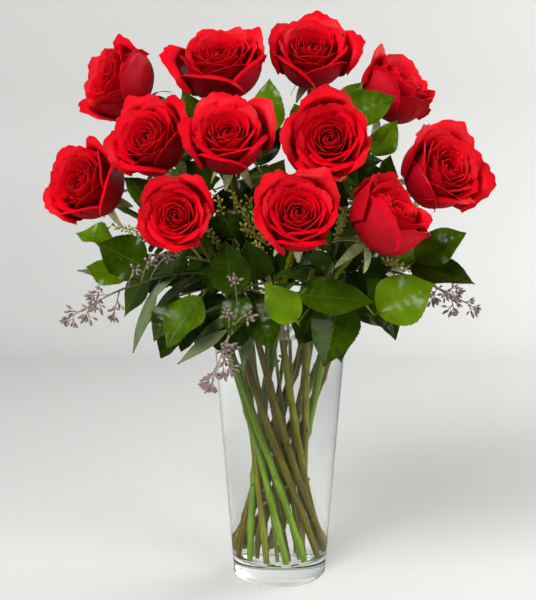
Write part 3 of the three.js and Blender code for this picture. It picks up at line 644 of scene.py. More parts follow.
CANES = [
    cane_material("olive_cane", "#4c4a06", "#86861a", "#5f4610"),
    cane_material("green_cane", "#446008", "#7c9c2a", "#5e7014"),
    cane_material("brown_cane", "#3c3006", "#746218", "#5c5e10"),
]
HIP = skin_material("hip_skin", "#5e7420", "#8a9a40", 3, 0.42, 0.15)
SEPAL = skin_material("downy_sepal", "#8c985c", "#c2c496", 4, 0.65, 0.2)
THORN = skin_material("dry_thorn", "#7a4a2c", "#a87a4a", 2, 0.55, 0.1)
TWIG = skin_material("brown_twig", "#5b5a2c", "#83803f", 2.5, 0.55, 0.2, STREAKS)
SEED_TWIG = skin_material("grey_twig", "#74695a", "#9a9080", 2, 0.6, 0.15)
SEED = skin_material("mauve_seed", "#66504a", "#a8948a", 1.6, 0.6, 0.2)
GREEN_BUD = skin_material("yellow_green_bud", "#7c7c22", "#b4ae4c", 1.6, 0.6, 0.2)


@material
def clear_material(add, ior, tint):
    """Clear glass or water. Lamps shine through it, as no light path could find its way there."""
    body = add("BsdfPrincipled", {
        "Base Color": linear(tint), "Roughness": 0, "IOR": ior, "Transmission Weight": 1,
        "Specular IOR Level": 0.2,
    })
    through = add("BsdfTransparent", (linear(tint),))
    shadow, soft = add("LightPath", output=("Is Shadow Ray", "Is Diffuse Ray"))
    return add("MixShader", (formula(add, shadow, ("MAXIMUM", soft)), body, through))


GLASS_IOR, WATER_IOR = 1.5, 1.333
GLASS = clear_material("clear_glass", GLASS_IOR, "#fbfdfc")
# The inner wall below the water line parts glass from water, so it bends light only a little.
WET_GLASS = clear_material("wet_glass", GLASS_IOR / WATER_IOR, "#fdfefd")
WATER_TOP = clear_material("water_top", WATER_IOR, "#fcfefd")
WATER_SIDE = clear_material("water_side", 1, "#ffffff")

# ---- Making meshes ----


def select_only(obj):
    bpy.ops.object.select_all(action="DESELECT")
    obj.select_set(True)
    bpy.context.view_layer.objects.active = obj


def edit_all(obj, *steps):
    """Runs operators on the whole of an object's mesh in edit mode."""
    select_only(obj)
    bpy.ops.object.mode_set(mode="EDIT")
    for operator, settings in steps:
        bpy.ops.mesh.select_all(action="SELECT")
        operator(**settings)
    bpy.ops.object.mode_set(mode="OBJECT")


WELD = ((bpy.ops.mesh.remove_doubles, {"threshold": 1e-6}),
        (bpy.ops.mesh.normals_make_consistent, {"inside": False}))


def linked(name, data):
    obj = bpy.data.objects.new(name, data)
    bpy.context.scene.collection.objects.link(obj)
    return obj


def new_object(name, points_mm, faces, materials):
    mesh = bpy.data.meshes.new(name)
    mesh.from_pydata((np.asarray(points_mm) * MM).tolist(), [], faces)
    for one in materials:
        mesh.materials.append(one)
    return linked(name, mesh)


def smooth(obj, degrees):
    select_only(obj)
    bpy.ops.object.shade_smooth_by_angle(angle=math.radians(degrees))
    return obj


def join(name, objects):
    """Several objects as one, under that name."""
    select_only(objects[0])
    for other in objects[1:]:
        other.select_set(True)
    if len(objects) > 1:
        bpy.ops.object.join()
    objects[0].name = name
    objects[0].data.name = name
    return objects[0]


def finish_piece(obj, slot, *nodes):
    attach(obj, BODY)
    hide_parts(*nodes)


def flat_grid(columns, rows):
    """A flat grid to bend into sheets: where its corners are across and along, and its faces."""
    bpy.ops.object.select_all(action="DESELECT")
    bpy.ops.mesh.primitive_grid_add(x_subdivisions=columns, y_subdivisions=rows, size=2)
    grid = bpy.context.object
    places = np.array([v.co for v in grid.data.vertices])
    faces = np.array([p.vertices for p in grid.data.polygons])
    bpy.data.objects.remove(grid)
    return places[:, 0], (places[:, 1] + 1) / 2, faces


def sheets(name, grid, surfaces, tones, thickness_mm, materials, degrees):
    """One object of many thin sheets: each surface is a grid's points, bent in millimetres.

    The first material is for the side that u crossed with v points to, the second for the other.
    """
    u, v, faces = grid
    count = len(u)
    every = np.concatenate([faces + count * i for i in range(len(surfaces))])
    obj = new_object(name, np.concatenate(surfaces), every.tolist(), materials)
    corners = np.empty(len(obj.data.loops), int)
    obj.data.loops.foreach_get("vertex_index", corners)
    tone = np.array(tones)[corners // count]
    layers = {"sheet": np.column_stack(((u + 1) / 2, v))[corners % count],
              "tone": np.column_stack((tone, tone))}
    for layer, table in layers.items():
        made = obj.data.uv_layers.new(name=layer)
        made.data.foreach_set("uv", table.astype(np.float32).ravel())
    select_only(obj)
    wall = obj.modifiers.new("wall", "SOLIDIFY")
    wall.thickness = thickness_mm * MM
    wall.offset = 0
    wall.material_offset = wall.material_offset_rim = 1
    bpy.ops.object.modifier_apply(modifier=wall.name)
    return smooth(obj, degrees)


def mark_skin(obj, points_mm):
    """Keeps, at each corner, its offset from the centre line and its height along it, in metres."""
    line = np.asarray(points_mm) * MM
    lengths = np.concatenate(([0], np.cumsum(np.linalg.norm(np.diff(line, axis=0), axis=1))))
    corners = np.array([v.co for v in obj.data.vertices])
    nearest = np.linalg.norm(corners[:, None] - line[None], axis=2).argmin(1)
    off = corners - line[nearest]
    skin = np.column_stack((off[:, 0], off[:, 1], lengths[nearest] + off[:, 2]))
    made = obj.data.attributes.new("skin", "FLOAT_VECTOR", "POINT")
    made.data.foreach_set("vector", skin.astype(np.float32).ravel())


def tube(name, points_mm, radii_mm, look, resolution=1):
    """A round limb along points, with a radius at each."""
    curve = bpy.data.curves.new(name, "CURVE")
    curve.dimensions = "3D"
    spline = curve.splines.new("POLY")
    spline.points.add(len(points_mm) - 1)
    places = np.column_stack((np.asarray(points_mm) * MM, np.ones(len(points_mm))))
    spline.points.foreach_set("co", places.ravel())
    spline.points.foreach_set("radius", np.asarray(radii_mm, float))
    curve.bevel_depth = MM
    curve.bevel_resolution = resolution
    curve.use_fill_caps = True
    select_only(linked(name, curve))
    bpy.ops.object.convert(target="MESH")
    obj = bpy.context.object
    obj.data.materials.clear()
    obj.data.materials.append(look)
    edit_all(obj, *WELD)
    return smooth(obj, 50)


def spun(name, profile_mm, steps, look, degrees=60):
    """A closed shape spun about Z from a profile of (radius, height) that ends on the axis."""
    points = [(r, 0, z) for r, z in profile_mm]
    obj = new_object(name, points, [], [look])
    obj.data.edges.add(len(points) - 1)
    for i, edge in enumerate(obj.data.edges):
        edge.vertices = (i, i + 1)
    round_z = dict(steps=steps, angle=2 * math.pi, center=(0, 0, 0), axis=(0, 0, 1))
    edit_all(obj, (bpy.ops.mesh.spin, round_z), *WELD)
    return smooth(obj, degrees)


def mesh_copies(name, pattern, frames):
    """One object of copies of a pattern mesh, each moved by its own 4x4 matrix in metres."""
    made = []
    for matrix in frames:
        mesh = pattern.data.copy()
        mesh.transform(Matrix(matrix.tolist()))
        made.append(linked(name, mesh))
    return join(name, made)


def frame_matrix(x, y, z, origin_mm, scale=1.0):
    """The matrix that takes a pattern's own axes to x, y and z at a place."""
    matrix = np.eye(4)
    matrix[:3, 0], matrix[:3, 1], matrix[:3, 2] = x * scale, y * scale, z * scale
    matrix[:3, 3] = origin_mm * MM
    return matrix


def side_of(v):
    """Two unit directions across v."""
    first = across(UP if abs(v[2]) < 0.9 else np.array((1.0, 0, 0)), v)
    return first, np.cross(v, first)


def branching(along, angle, lean):
    """A unit direction that leaves a limb at an angle round it, leaning by a share along it."""
    first, second = side_of(along)
    return unit(first * math.cos(angle) + second * math.sin(angle) + along * lean)


def standing(way, origin_mm, scale=1.0):
    """The matrix that stands a pattern on a place, its Z the way given."""
    return frame_matrix(*side_of(way), way, origin_mm, scale)

# ---- Blooms ----

# Whorls of petals, from the outside in. The outermost five stand where the solid's do. A row is
# how many petals, the place of the first from the heart, 0, to the outside, 1, the step to the
# next, its turn and the turn to the next, half its width in degrees, and where on the seat it
# grows.
OUTER_SEAT, INNER_SEAT = (6, 1.4), (4.6, 4.8)
THROWN = (0.85, 0.7, 0.55, 0.4, 0.3)
WHORLS = (
    (5, 1.0, 0.06, 0, 72, 48, OUTER_SEAT),
    (5, 0.72, 0.025, 36, 72, 54, OUTER_SEAT),
    (5, 0.58, 0.02, 10, 72, 56, INNER_SEAT),
    (5, 0.46, 0.018, 50, 72, 60, INNER_SEAT),
    (5, 0.36, 0.016, 20, 75, 64, INNER_SEAT),
    (5, 0.27, 0.014, 64, 79, 70, INNER_SEAT),
    (5, 0.19, 0.014, 10, 85, 76, INNER_SEAT),
    (4, 0.12, 0.014, 20, 100, 84, INNER_SEAT),
    (4, 0.06, 0.018, 60, 125, 95, INNER_SEAT),
)
# A half-open bloom has fewer petals, and each wraps further round.
TIGHT_WHORLS = (
    (5, 1.0, 0.06, 0, 72, 54, OUTER_SEAT),
    (4, 0.64, 0.05, 36, 95, 66, OUTER_SEAT),
    (4, 0.4, 0.045, 12, 100, 74, INNER_SEAT),
    (4, 0.22, 0.03, 60, 110, 84, INNER_SEAT),
    (3, 0.12, 0.02, 20, 125, 92, INNER_SEAT),
    (3, 0.05, 0.02, 70, 125, 98, INNER_SEAT),
)
FOLD_ROW = 0.62  # how far along a petal's grid its rim folds back
FOLD_SHARE = 0.45  # how much of the rim the fold takes
PETAL_GRID = flat_grid(20, 20)
PETAL_THICKNESS = 0.35


def petal_table(whorls, draw):
    """Every petal's place, turn, half width, seat and how far its rim is thrown outwards."""
    rows = []
    for whorl, (count, place, step, turn, next_turn, spread, seat) in enumerate(whorls):
        for i in range(count):
            thrown = 0.3 * draw() if whorl else THROWN[i]
            rows.append((
                place - step * i + 0.006 * (draw() - 0.5),
                turn + next_turn * i + 8 * (draw() - 0.5),
                spread * (0.94 + 0.1 * draw()), seat, thrown,
            ))
    return rows


def petal_points(bloom, place, turn, spread, seat, thrown, draw):
    """A petal's points: its section leaves the seat, rounds the belly and folds back at the rim."""
    u, v, _ = PETAL_GRID
    side = np.abs(u)
    roll = bloom["open"] * min(1, place / 0.6) ** 1.5
    corners = np.array((
        seat,
        (8 + 35 * place, 4),
        (8 + 31 * place, 33),
        (0.6 + 35 * place, mix(50, 47.5, bloom["open"]) + 14 * place * (1 - place)),
    ))
    # The fold runs a little aslant across the petal and drops at its sides.
    fold = 0.8 + 0.02 * (draw() - 0.5) - 0.06 * u * u - 0.2 * side**4 + 0.06 * (draw() - 0.5) * u
    section = cubic(corners, fold * np.minimum(1, v / FOLD_ROW))
    way = cubic(corners, fold + 1e-3) - cubic(corners, fold - 1e-3)
    way /= np.linalg.norm(way, axis=-1, keepdims=True)
    out = np.stack((way[..., 1], -way[..., 0]), axis=-1)
    # The innermost petals lean in over the heart and close it.
    set_back = mix(-42, 12, min(1, place / 0.16))
    curl = np.radians(set_back + roll * (58 + 38 * thrown)) * (0.88 + 0.24 * draw())
    curl = curl * (0.85 + 0.45 * u * u)
    # The rim is longest near its middle, where it comes to a point, and its edge is ragged.
    corner = ((u - 0.4 * (draw() - 0.5)) ** 2 + 0.0008) ** mix(0.5, 0.32, place)
    ragged = 0.05 * np.sin(mix(9, 14, draw()) * u + 6 * draw())
    ragged = ragged + 0.04 * np.sin(mix(22, 34, draw()) * u)
    reach = mix(5, 15, place) * (0.85 + 0.3 * draw()) + 5 * thrown * roll
    reach = reach * np.maximum(
        0.12, 1 - mix(0.2, 0.66, place) * corner - 0.12 * side**4 + ragged)
    # It bends in an arc at first, and runs on straight.
    bent = np.clip((v - FOLD_ROW) / (1 - FOLD_ROW), 0, 1)
    bend = curl * np.minimum(1, bent / FOLD_SHARE) + 1e-6
    arc = reach * np.minimum(bent, FOLD_SHARE) / bend
    beyond = reach * np.maximum(0, bent - FOLD_SHARE)
    section = section + (arc * np.sin(bend) + beyond * np.cos(curl))[..., None] * way
    section = section + (arc * (1 - np.cos(bend)) + beyond * np.sin(curl))[..., None] * out
    # One edge of each petal lies over its neighbour and the other under.
    overlap = 1.1 * u * np.minimum(1, v * 2)
    ruffle = mix(0.15, 1.0, place) * v**3 * np.sin(mix(4, 8, draw()) * u + 6 * draw())
    crinkle = mix(0.1, 0.35, place) * v**6 * np.sin(mix(13, 22, draw()) * u + 6 * draw())
    angle = bloom["spin"] + turn + u * np.minimum(1, 0.3 + 1.1 * v) * spread
    radial = section[..., 0] + overlap + 0.6 * ruffle + crinkle
    height = section[..., 1] + ruffle + crinkle - 1.0 * u * bent
    return in_bloom(bloom, radial * bloom["size"], angle, height * bloom["size"])


for bloom in blooms:
    draw = seeded(900 + 37 * int(bloom["name"]))
    surfaces, tones = [], []
    for row in petal_table(TIGHT_WHORLS if bloom["open"] < 0.4 else WHORLS, draw):
        surfaces.append(petal_points(bloom, *row, draw))
        tones.append(draw())
    petals = sheets(f"rose_{bloom['name']}_petals", PETAL_GRID, surfaces, tones, PETAL_THICKNESS,
                    [PETAL_BACK, PETAL_FACE], 60)
    finish_piece(petals, "petals", f"rose_bloom_{bloom['name']}")

# ---- Fine leaves ----

SALAL_GRID = flat_grid(8, 84)
LEAFLET_GRID = flat_grid(6, 24)
GUM_GRID = flat_grid(6, 22)
TEETH, TOOTH_DEPTH = 21, 3


def fine_leaf(leaf, grid, draw):
    """A leaf of the plan with a drawn-out tip, a toothed edge and a creased rib."""
    u, v, _ = grid
    blade = np.clip((v - leaf["stalk"]) / (1 - leaf["stalk"]), 0, 1)
    # The lightest leaves wave the most.
    leaf = {**leaf, "wave": leaf["wave"] * (1 + 1.2 * leaf.get("tone", 0))}
    crease = 0
    if leaf["kind"] == "salal":
        tip = np.clip((1 - blade) / 0.22, 0, 1) ** 0.3
        tooth = (TEETH * blade % 1) * np.sin(np.pi * blade) * np.abs(u) ** 6
        u = u * (tip + TOOTH_DEPTH / leaf["width"] * tooth)
        quilt = np.sin(16 * np.pi * (v - 0.16 * np.abs(u) ** 1.3)) * np.abs(u) * (1 - u * u)
        rib = np.exp(-((u / 0.12) ** 2)) * np.sin(np.pi * blade)
        crease = 0.5 * quilt - 0.9 * rib + 1.5 * u * np.sin(3 * v + 6 * draw()) * blade
    points = leaf_points(leaf, u, v) + np.multiply.outer(crease + 0 * v, leaf["normal"])
    return points + np.multiply.outer((1 - v) ** 2, leaf["shift"])


def blades(leaves, grid, thickness_mm, materials, draw):
    """Several leaves as one object. Those without a tone of their own are given one."""
    surfaces = [fine_leaf(leaf, grid, draw) for leaf in leaves]
    tones = [leaf.get("tone", leaf.get("lightest", 1) * draw()) for leaf in leaves]
    return sheets("blades", grid, surfaces, tones, thickness_mm, materials, 50)


# ---- Rose stems ----

HIP_PROFILE = ((0, -12.5), (2.9, -12.5), (3.3, -11.5), (4.7, -9.8), (5.4, -8), (5.2, -6),
               (4.6, -4.4), (4.9, -3), (5.2, -1.6), (4.9, -0.4), (0, -0.4))
THORN_PROFILE = ((0, -0.6), (1.5, -0.6), (1.1, 0.6), (0.5, 2.2), (0.12, 3.6), (0, 3.7))
hip_pattern = spun("hip_pattern", HIP_PROFILE, 16, HIP)
thorn_pattern = spun("thorn_pattern", THORN_PROFILE, 8, THORN)

SEPAL_GRID = flat_grid(4, 12)
STEM_STEPS = 30
CANE_STEPS = 150
KNUCKLES = 9
STUBS = 6
THORNS = 4
ROSE_LEAFLET = dict(kind="salal", stalk=0.06, fold=0.2, wave=1.2, droop=0.12, sickle=0)
LEAFLETS = ((1.0, 0, 1.0), (0.55, 1, 0.84), (0.55, -1, 0.84))


def sepal_points(bloom, index, draw):
    u, v, _ = SEPAL_GRID
    droop = 15 + 4 * ((2 * index) % 5)
    section = cubic(np.array(((4.6, -5), (9, -5.2), (15, -7), (20.8, -droop))), v)
    half = 4.8 * np.sin(np.pi * np.clip(v * 0.86 + 0.1, 0, 1)) ** 0.9 + 0.2
    cup = 1.2 * u * u * np.sin(np.pi * v) + 2.0 * u * v * v * (draw() - 0.5)
    radius = section[:, 0]
    height = section[:, 1] + cup + 0.8 * np.sin(5 * v + 6 * draw())
    # Near the seat a sepal's half width is an angle of its ring, and further out it is a length.
    spread = np.degrees(np.arctan2(half * u, radius))
    return in_bloom(bloom, radius, bloom["spin"] + 72 * index + spread, height)


def knuckled(count, draw, radius):
    """Radii along a cane that swell a little where leaves once grew."""
    along = np.linspace(0, 1, count)
    radii = np.full(count, radius * 0.93)
    for k in range(KNUCKLES):
        at = (k + 0.2 + 0.6 * draw()) / KNUCKLES
        radii += radius * 0.24 * np.exp(-(((along - at) / 0.009) ** 2))
    return radii


def stem_points(stem, to=1.0):
    """A stem's centre line: the straight part, bowed a hair, and then the bend."""
    steps = np.linspace(0, 1, STEM_STEPS)[:, None]
    straight = mix(stem["foot"], stem["neck"], steps)
    middle = unit(straight.mean(0) * (1, 1, 0) + 1e-6)
    straight = straight + middle * 1.2 * np.sin(np.pi * steps)
    return np.concatenate((straight, cubic(stem["bend"], np.linspace(0, to, STEM_STEPS)[1:])))


def rose_leaf(stem, t, turn, draw):
    """The parts of a three-part leaf on a rose's stem, turned about it until it is clear."""
    root, tangent = cubic(stem["bend"], t), tangent_at(stem, t)
    start = across(unit(root * (1, 1, 0)) + UP * 0.3, tangent)
    length = 26 + 9 * draw()
    phase = 6 * draw()
    for swing in SWINGS:
        along = unit(tangent * 0.5 + turned(start, tangent, turn + swing))
        normal = across(sunward(root), along)
        side = np.cross(normal, along)
        stalk = along * length * 0.6
        leaflets = []
        for at, which, scale in LEAFLETS:
            way = unit(along * (0.6 if which else 1) + side * which)
            leaflets.append(aimed(ROSE_LEAFLET, root + stalk * at, way, normal, phase=phase,
                                  length=length * scale, width=length * scale * 0.62))
        points = np.concatenate([leaf_points(leaf, *test_points(4, 6)) for leaf in leaflets])
        if is_clear(points, 1.2, stem["owner"]):
            take(points, 1.0)
            return [tube("leaf_stalk", [root, root + stalk], [0.9, 0.6], ROSE_LEAF),
                    blades(leaflets, LEAFLET_GRID, 0.5, [ROSE_LEAF_UNDER, ROSE_LEAF], draw)]
    return []


def make_rose_stem(bloom, number):
    draw = seeded(400 + 13 * number)
    stem = bloom["stem"]
    skin = CANES[number % 3]
    line = stem_points(stem)
    steps = np.linspace(0, len(line) - 1, CANE_STEPS)
    fine = np.column_stack([np.interp(steps, np.arange(len(line)), column) for column in line.T])
    radius = mix(2.8, 3.7, draw())
    cane = tube("cane", fine, knuckled(CANE_STEPS, draw, radius), skin, 3)
    mark_skin(cane, fine)
    in_place = frame_matrix(bloom["right"], bloom["front"], bloom["axis"], bloom["base"])
    surfaces = [sepal_points(bloom, i, draw) for i in range(5)]
    tones = [draw() for _ in surfaces]
    parts = [cane, mesh_copies("hip", hip_pattern, [in_place]),
             sheets("sepals", SEPAL_GRID, surfaces, tones, 0.5, [SEPAL, SEPAL], 60)]

    def off_cane(first, last, share, lean):
        """A place on the cane's centre line and a way out of it, both drawn."""
        at = int(mix(first, last, share))
        return fine[at], branching(unit(fine[at + 1] - fine[at]), 2 * math.pi * draw(), lean)

    thorns = []
    for _ in range(THORNS):
        place, way = off_cane(80, 135, draw(), -0.35)
        thorns.append(standing(way, place + way * 2.4))
    parts.append(mesh_copies("thorns", thorn_pattern, thorns))
    # Below the water, stubs are left where leaves and side shoots were cut off.
    for k in range(STUBS):
        place, way = off_cane(8, 72, (k + draw()) / STUBS, 0.9)
        ends = [place, place + way * (radius + mix(2, 5, draw()))]
        parts.append(tube("stub", ends, [1.8, 1.1], skin))
    for k, t in enumerate((0.1, 0.2, 0.3, 0.4, 0.5, 0.6, 0.7, 0.78)):
        parts += rose_leaf(stem, t, GOLDEN_TURN * k, draw)
    piece = join(f"rose_{bloom['name']}_stem", parts)
    finish_piece(piece, "stems", f"rose_stem_{bloom['name']}")


for number, bloom in enumerate(blooms):
    make_rose_stem(bloom, number)

# ---- Greenery ----

# An unopened gum flower along +Z: a thin stalk, and a small urn with a narrow mouth.
URN_PROFILE = ((0, 0), (0.3, 0), (0.24, 4.2), (0.85, 5.0), (1.25, 6.4), (1.15, 7.6), (0.8, 8.5),
               (0.75, 8.9), (1.05, 9.4), (0.5, 9.4), (0, 9.0))
BUD_PROFILE = ((0, 0), (0.25, 0), (0.22, 1.6), (0.8, 2.4), (0.95, 3.4), (0.55, 4.3), (0, 4.6))
urn_pattern = spun("urn_pattern", URN_PROFILE, 8, SEED, 50)
bud_pattern = spun("bud_pattern", BUD_PROFILE, 6, GREEN_BUD)

# Thin twigs of yellow-green buds deep among the stems: how far along the bend of its salal branch
# each grows, and its tip.
BUD_TWIGS = {
    "front_left": ((0.3, (-45, -64, 386)), (0.3, (-30, -58, 380)), (0.35, (-24, -66, 366)),
                   (0.45, (-34, -70, 356)), (0.5, (-22, -84, 340)), (0.5, (-40, -84, 334))),
    "left_low": ((0.3, (-58, -50, 380)), (0.35, (-70, -60, 356))),
    "left": ((0.75, (-156, -38, 352)), (0.7, (-140, -50, 344))),
    "right": ((0.35, (66, -64, 388)), (0.4, (56, -72, 372)), (0.7, (112, -86, 318))),
}
BUDS_PER_TWIG = 34
TWIG_STEPS = 14
BARE_SHARE = 0.4  # how much of a twig has no buds

# Further clusters of seeds on twigs of their own: where those of each spray end.
SEED_CLUSTERS = {
    "left": ((-115, -100, 326), (-128, -96, 318), (-100, -98, 330)),
    "front": ((-40, -120, 311), (-46, -124, 284), (-29, -124, 282), (-48, -122, 259)),
}


def bud_twig(start, tip, draw):
    """A twig with short-stalked buds all round its upper part."""
    middle = (start + tip) / 2 + UP * 8
    line = cubic((start, middle, middle, np.array(tip, float)), np.linspace(0, 1, TWIG_STEPS))
    frames = []
    for i in range(BUDS_PER_TWIG):
        at = mix(BARE_SHARE, 1, i / (BUDS_PER_TWIG - 1)) * (TWIG_STEPS - 1.01)
        k = int(at)
        lean = 0.5 + 0.4 * draw()
        way = branching(unit(line[k + 1] - line[k]), math.radians(GOLDEN_TURN * i), lean)
        frames.append(standing(way, mix(line[k], line[k + 1], at - k), 0.9 + 0.5 * draw()))
    return [tube("bud_twig", line, np.linspace(0.8, 0.4, TWIG_STEPS), GREEN_BUD),
            mesh_copies("buds", bud_pattern, frames)]


def make_greenery(stem, kind, slot, node, grid, materials, end):
    """A leafy stem up to that part of its bend, with its shoots and its twigs of buds."""
    draw = seeded(700 + stem["seed"])
    line = stem_points(stem, end)
    parts = [tube("twig", line, np.linspace(1.08, 0.78, len(line)) * stem["radius"], TWIG, 2)]
    for start, tip in stem["shoots"]:
        ease = mix(start, tip, 0.5) + tangent_at(stem, 0.9) * 2
        parts.append(tube("shoot", [start, ease, tip], [1.0, 0.9, 0.7], TWIG))
    for at, tip in BUD_TWIGS.get(stem["name"], ()) if kind == "salal" else ():
        parts += bud_twig(cubic(stem["bend"], at), tip, draw)
    parts.append(blades(stem["leaves"], grid, 0.6, materials, draw))
    finish_piece(join(f"{kind}_{stem['name']}_leaves", parts), slot, f"{node}_{stem['name']}")


for stem in salal_stems:
    make_greenery(stem, "salal", "leaves", "salal", SALAL_GRID, [SALAL_UNDER, SALAL_TOP], 1.0)
for stem in gum_stems:
    make_greenery(stem, "eucalyptus", "grey_leaves", "eucalyptus_stem", GUM_GRID,
                  [GUM_UNDER, GUM_TOP], SPRAY_START)


def umbel(origin, along, normal, count, spin, draw):
    """Where the seeds of one cluster stand: all from one point, in a loose cone."""
    frames = []
    for i in range(count):
        out = turned(normal, along, spin + GOLDEN_TURN * i)
        way = unit(along + out * mix(0.15, 1.2, i / (count - 1)) * (0.8 + 0.4 * draw()))
        frames.append(standing(way, origin, 0.75 + 0.35 * draw()))
    return frames


def seed_clusters(stem, draw):
    """The twigs and seeds of one spray's further clusters, from the nearest part of its stem."""
    line = cubic(stem["bend"], np.linspace(0.4, 1, 30))
    parts, frames = [], []
    for tip in SEED_CLUSTERS.get(stem["name"], ()):
        start = line[np.linalg.norm(line - tip, axis=1).argmin()]
        tip = np.array(tip, float)
        corners = (start, mix(start, tip, 0.4) + UP * 5, mix(start, tip, 0.8) + UP * 5, tip)
        twig = cubic(corners, np.linspace(0, 1, 8))
        parts.append(tube("side_twig", twig, np.linspace(0.7, 0.4, 8), SEED_TWIG))
        along = unit(twig[-1] - twig[-2])
        frames += umbel(tip, along, side_of(along)[0], 9, 90 * draw(), draw)
    return parts, frames


def make_spray(stem):
    draw = seeded(500 + stem["seed"])
    line = cubic(stem["bend"], np.linspace(SPRAY_START, 1, 16))
    parts = [tube("twig", line, np.linspace(1.1, 0.6, 16), SEED_TWIG)]
    more, frames = seed_clusters(stem, draw)
    parts += more
    for root, along, normal, reach, spin in stem["heads"]:
        tip = root + along * (reach - 2)
        twig = [root, (root + tip) / 2, tip]
        parts.append(tube("side_twig", twig, [0.7, 0.55, 0.45], SEED_TWIG))
        frames += umbel(tip, along, normal, 8, spin, draw)
        for k in range(2):
            way = unit(along + turned(normal, along, spin + 60 + 150 * k))
            low = root + along * (reach * (0.35 + 0.3 * k))
            end = low + way * 3.5
            parts.append(tube("side_twig", [low, end], [0.5, 0.4], SEED_TWIG))
            frames += umbel(end, way, across(along, way), 4, 90 * k, draw)
    parts.append(mesh_copies("urns", urn_pattern, frames))
    piece = join(f"eucalyptus_{stem['name']}_seeds", parts)
    finish_piece(piece, "seeds", f"eucalyptus_seeds_{stem['name']}")


for stem in gum_stems:
    make_spray(stem)

# ---- Vase and water ----

SPIN_STEPS = 128
FOOT_ROUND = 3.5
FLOOR_ROUND = 7
LIP = WALL / 2
SIDE_GAP = 0.3
MENISCUS = 1.4


def arc(centre, radius, start, end, steps):
    """Points of a rounded corner in a profile, from one angle to another in degrees."""
    angles = np.radians(np.linspace(start, end, steps))
    return [(centre[0] + radius * math.cos(a), centre[1] + radius * math.sin(a)) for a in angles]


def inner_radius(z):
    return outer_radius(z) - WALL


def sloped(radius_at, low, high, steps):
    """Points up or down a tapered wall."""
    return [(radius_at(z), z) for z in np.linspace(low, high, steps)]


floor_edge = FOOT_THICKNESS + FLOOR_ROUND
floor_centre = (inner_radius(floor_edge) - FLOOR_ROUND, floor_edge)
VASE_PROFILE = [
    (0, 1.2), (30, 1.0), (36, 0),
    *arc((outer_radius(FOOT_ROUND) - FOOT_ROUND, FOOT_ROUND), FOOT_ROUND, -90, 0, 7),
    *sloped(outer_radius, 8, VASE_HEIGHT - 4, 20),
    *arc((MOUTH_RADIUS - LIP - 0.1, VASE_HEIGHT - LIP), LIP, 0, 180, 9),
    *sloped(inner_radius, VASE_HEIGHT - 4, WATER_LEVEL, 3),
    *sloped(inner_radius, WATER_LEVEL - 6, floor_edge + 2, 18),
    *arc(floor_centre, FLOOR_ROUND, 0, -90, 8),
    (18, FOOT_THICKNESS + 0.4), (0, FOOT_THICKNESS + 0.8),
]
WATER_PROFILE = [
    (0, FOOT_THICKNESS + 0.8 + SIDE_GAP), (18, FOOT_THICKNESS + 0.4 + SIDE_GAP),
    *arc(floor_centre, FLOOR_ROUND - SIDE_GAP, -90, 0, 8),
    *sloped(lambda z: inner_radius(z) - SIDE_GAP, floor_edge + 2, WATER_LEVEL, 18),
    (inner_radius(WATER_LEVEL) - 1.0, WATER_LEVEL - 0.7),
    (inner_radius(WATER_LEVEL) - 3.0, WATER_LEVEL - MENISCUS),
    (0, WATER_LEVEL - MENISCUS),
]


def is_wet(face):
    x, y, z = face.center / MM
    return FOOT_THICKNESS - 1 < z < WATER_LEVEL and math.hypot(x, y) < inner_radius(z) + 0.6


vase = spun("glass_vase", VASE_PROFILE, SPIN_STEPS, GLASS, 40)
water = spun("still_water", WATER_PROFILE, SPIN_STEPS, WATER_SIDE)
for piece, other, is_other in ((vase, WET_GLASS, is_wet),
                               (water, WATER_TOP, lambda face: face.normal.z > 0.3)):
    piece.data.materials.append(other)
    for face in piece.data.polygons:
        face.material_index = int(is_other(face))
finish_piece(vase, "glass", "vase")
finish_piece(water, "water", "water")

for pattern in (hip_pattern, thorn_pattern, urn_pattern, bud_pattern):
    bpy.data.objects.remove(pattern)

# ---- Floor, backdrop and light ----

FLOOR_HALF = 6.0
FADE = (2.0, 3.6)  # from here to there, in metres, the floor gives way to the pale surroundings
WALL_Y, WALL_TOP = 1.5, 3.0
COVE = 0.5
BOUNCES = 14


@material
def stage_material(add, colour, mirrored, rough):
    """Matt paint, darker where it is mirrored, and clear far out and when seen from behind."""
    glossy, through = add("LightPath", output=("Is Glossy Ray", "Is Transmission Ray"))
    mirror = formula(add, glossy, ("SUBTRACT", through), ("MAXIMUM", 0))
    seen = add("Mix", {0: mirror, 6: linear(colour), 7: linear(mirrored)}, 2, data_type="RGBA")
    paint = {"Base Color": seen, "Roughness": rough, "Specular IOR Level": 0.3}
    place = add("TexCoord", output="Object")
    flat = add("VectorMath", (place, (1, 1, 0)), operation="MULTIPLY")
    far = add("VectorMath", (flat,), "Value", operation="LENGTH")
    fade = add("MapRange", {"Value": far, "From Min": FADE[0], "From Max": FADE[1]})
    gone = formula(add, add("NewGeometry", output="Backfacing"), ("MAXIMUM", fade))
    return add("MixShader", (gone, add("BsdfPrincipled", paint), add("BsdfTransparent")))


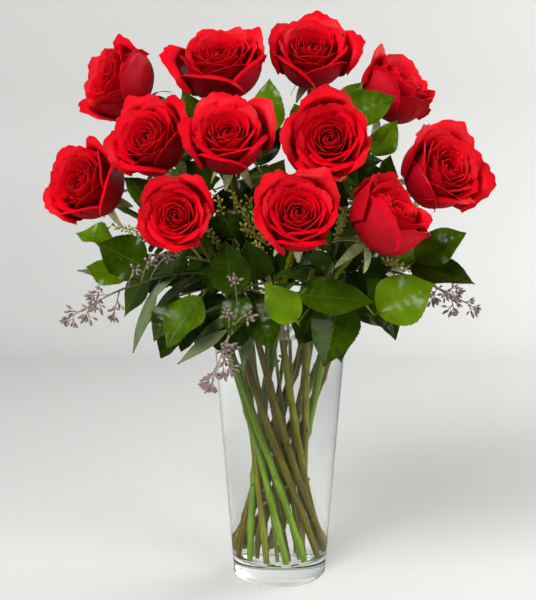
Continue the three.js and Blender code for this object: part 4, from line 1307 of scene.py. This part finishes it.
line = [(-FLOOR_HALF, 0.0), (WALL_Y - COVE, 0.0)]
for a in np.radians(range(-90, 1, 6)):
    line.append((WALL_Y - COVE + COVE * math.cos(a), COVE + COVE * math.sin(a)))
line.append((WALL_Y, WALL_TOP))
points = np.array([(x, y, z) for y, z in line for x in (-FLOOR_HALF, FLOOR_HALF)])
faces = [(2 * i, 2 * i + 1, 2 * i + 3, 2 * i + 2) for i in range(len(line) - 1)]
paint = stage_material("matt_floor", "#cfcfcd", "#4c4c4c", 0.5)
floor = new_object("floor", points / MM, faces, [paint])
floor.data.shade_smooth()

# Lamps: name, place, what each points at, width, height if it is a strip, and power.
LAMPS = (
    ("key", (-1.2, -1.5, 1.9), (0, 0, 0.38), 1.2, None, 70),
    ("fill", (1.7, -1.3, 1.2), (0, 0, 0.36), 1.5, None, 26),
    ("window", (1.5, 1.0, 1.2), (0, 0, 0.35), 1.2, None, 28),
    ("strip_left", (-0.9, -0.2, 0.5), (0, 0, 0.4), 0.1, 0.7, 1.5),
    ("strip_right", (0.9, 0.1, 0.5), (0, 0, 0.4), 0.1, 0.7, 1.5),
)
for name, place, target, width, height, power in LAMPS:
    light = bpy.data.lights.new(name, "AREA")
    light.shape = "RECTANGLE" if height else "DISK"
    light.size, light.size_y, light.energy = width, height or width, power
    lamp = linked(name, light)
    lamp.location = place
    lamp.rotation_euler = (Vector(target) - Vector(place)).to_track_quat("-Z", "Y").to_euler()

# The room is darker in front of the object, so that clear glass doesn't mirror a white haze. What
# is seen straight, or through the glass, is pale all round.
ROOM = ((0.0, "#2e2e30"), (0.5, "#58595a"), (0.75, "#8c8d8e"), (1.0, "#f4f5f6"))
world = bpy.data.worlds.new("studio")
world.use_nodes = True
world.node_tree.nodes.clear()
add = functools.partial(add_node, world.node_tree)
depth = add("SeparateXYZ", (add("TexCoord", output="Generated"),), "Y")
depth = add("MapRange", {"Value": depth, "From Min": -0.9, "From Max": 0.9})
tint = add("ValToRGB", (depth,), stops=ROOM)
seen, through = add("LightPath", output=("Is Camera Ray", "Is Transmission Ray"))
straight = formula(add, seen, ("MAXIMUM", through))
tint = add("Mix", {0: straight, 6: tint, 7: linear("#ffffff")}, 2, data_type="RGBA")
add("OutputWorld", (add("Background", {"Color": tint, "Strength": 0.7}),))
bpy.context.scene.world = world
bpy.context.scene.view_settings.view_transform = "Standard"

cycles = bpy.context.scene.cycles
cycles.max_bounces = BOUNCES
cycles.transmission_bounces = BOUNCES
cycles.transparent_max_bounces = 16
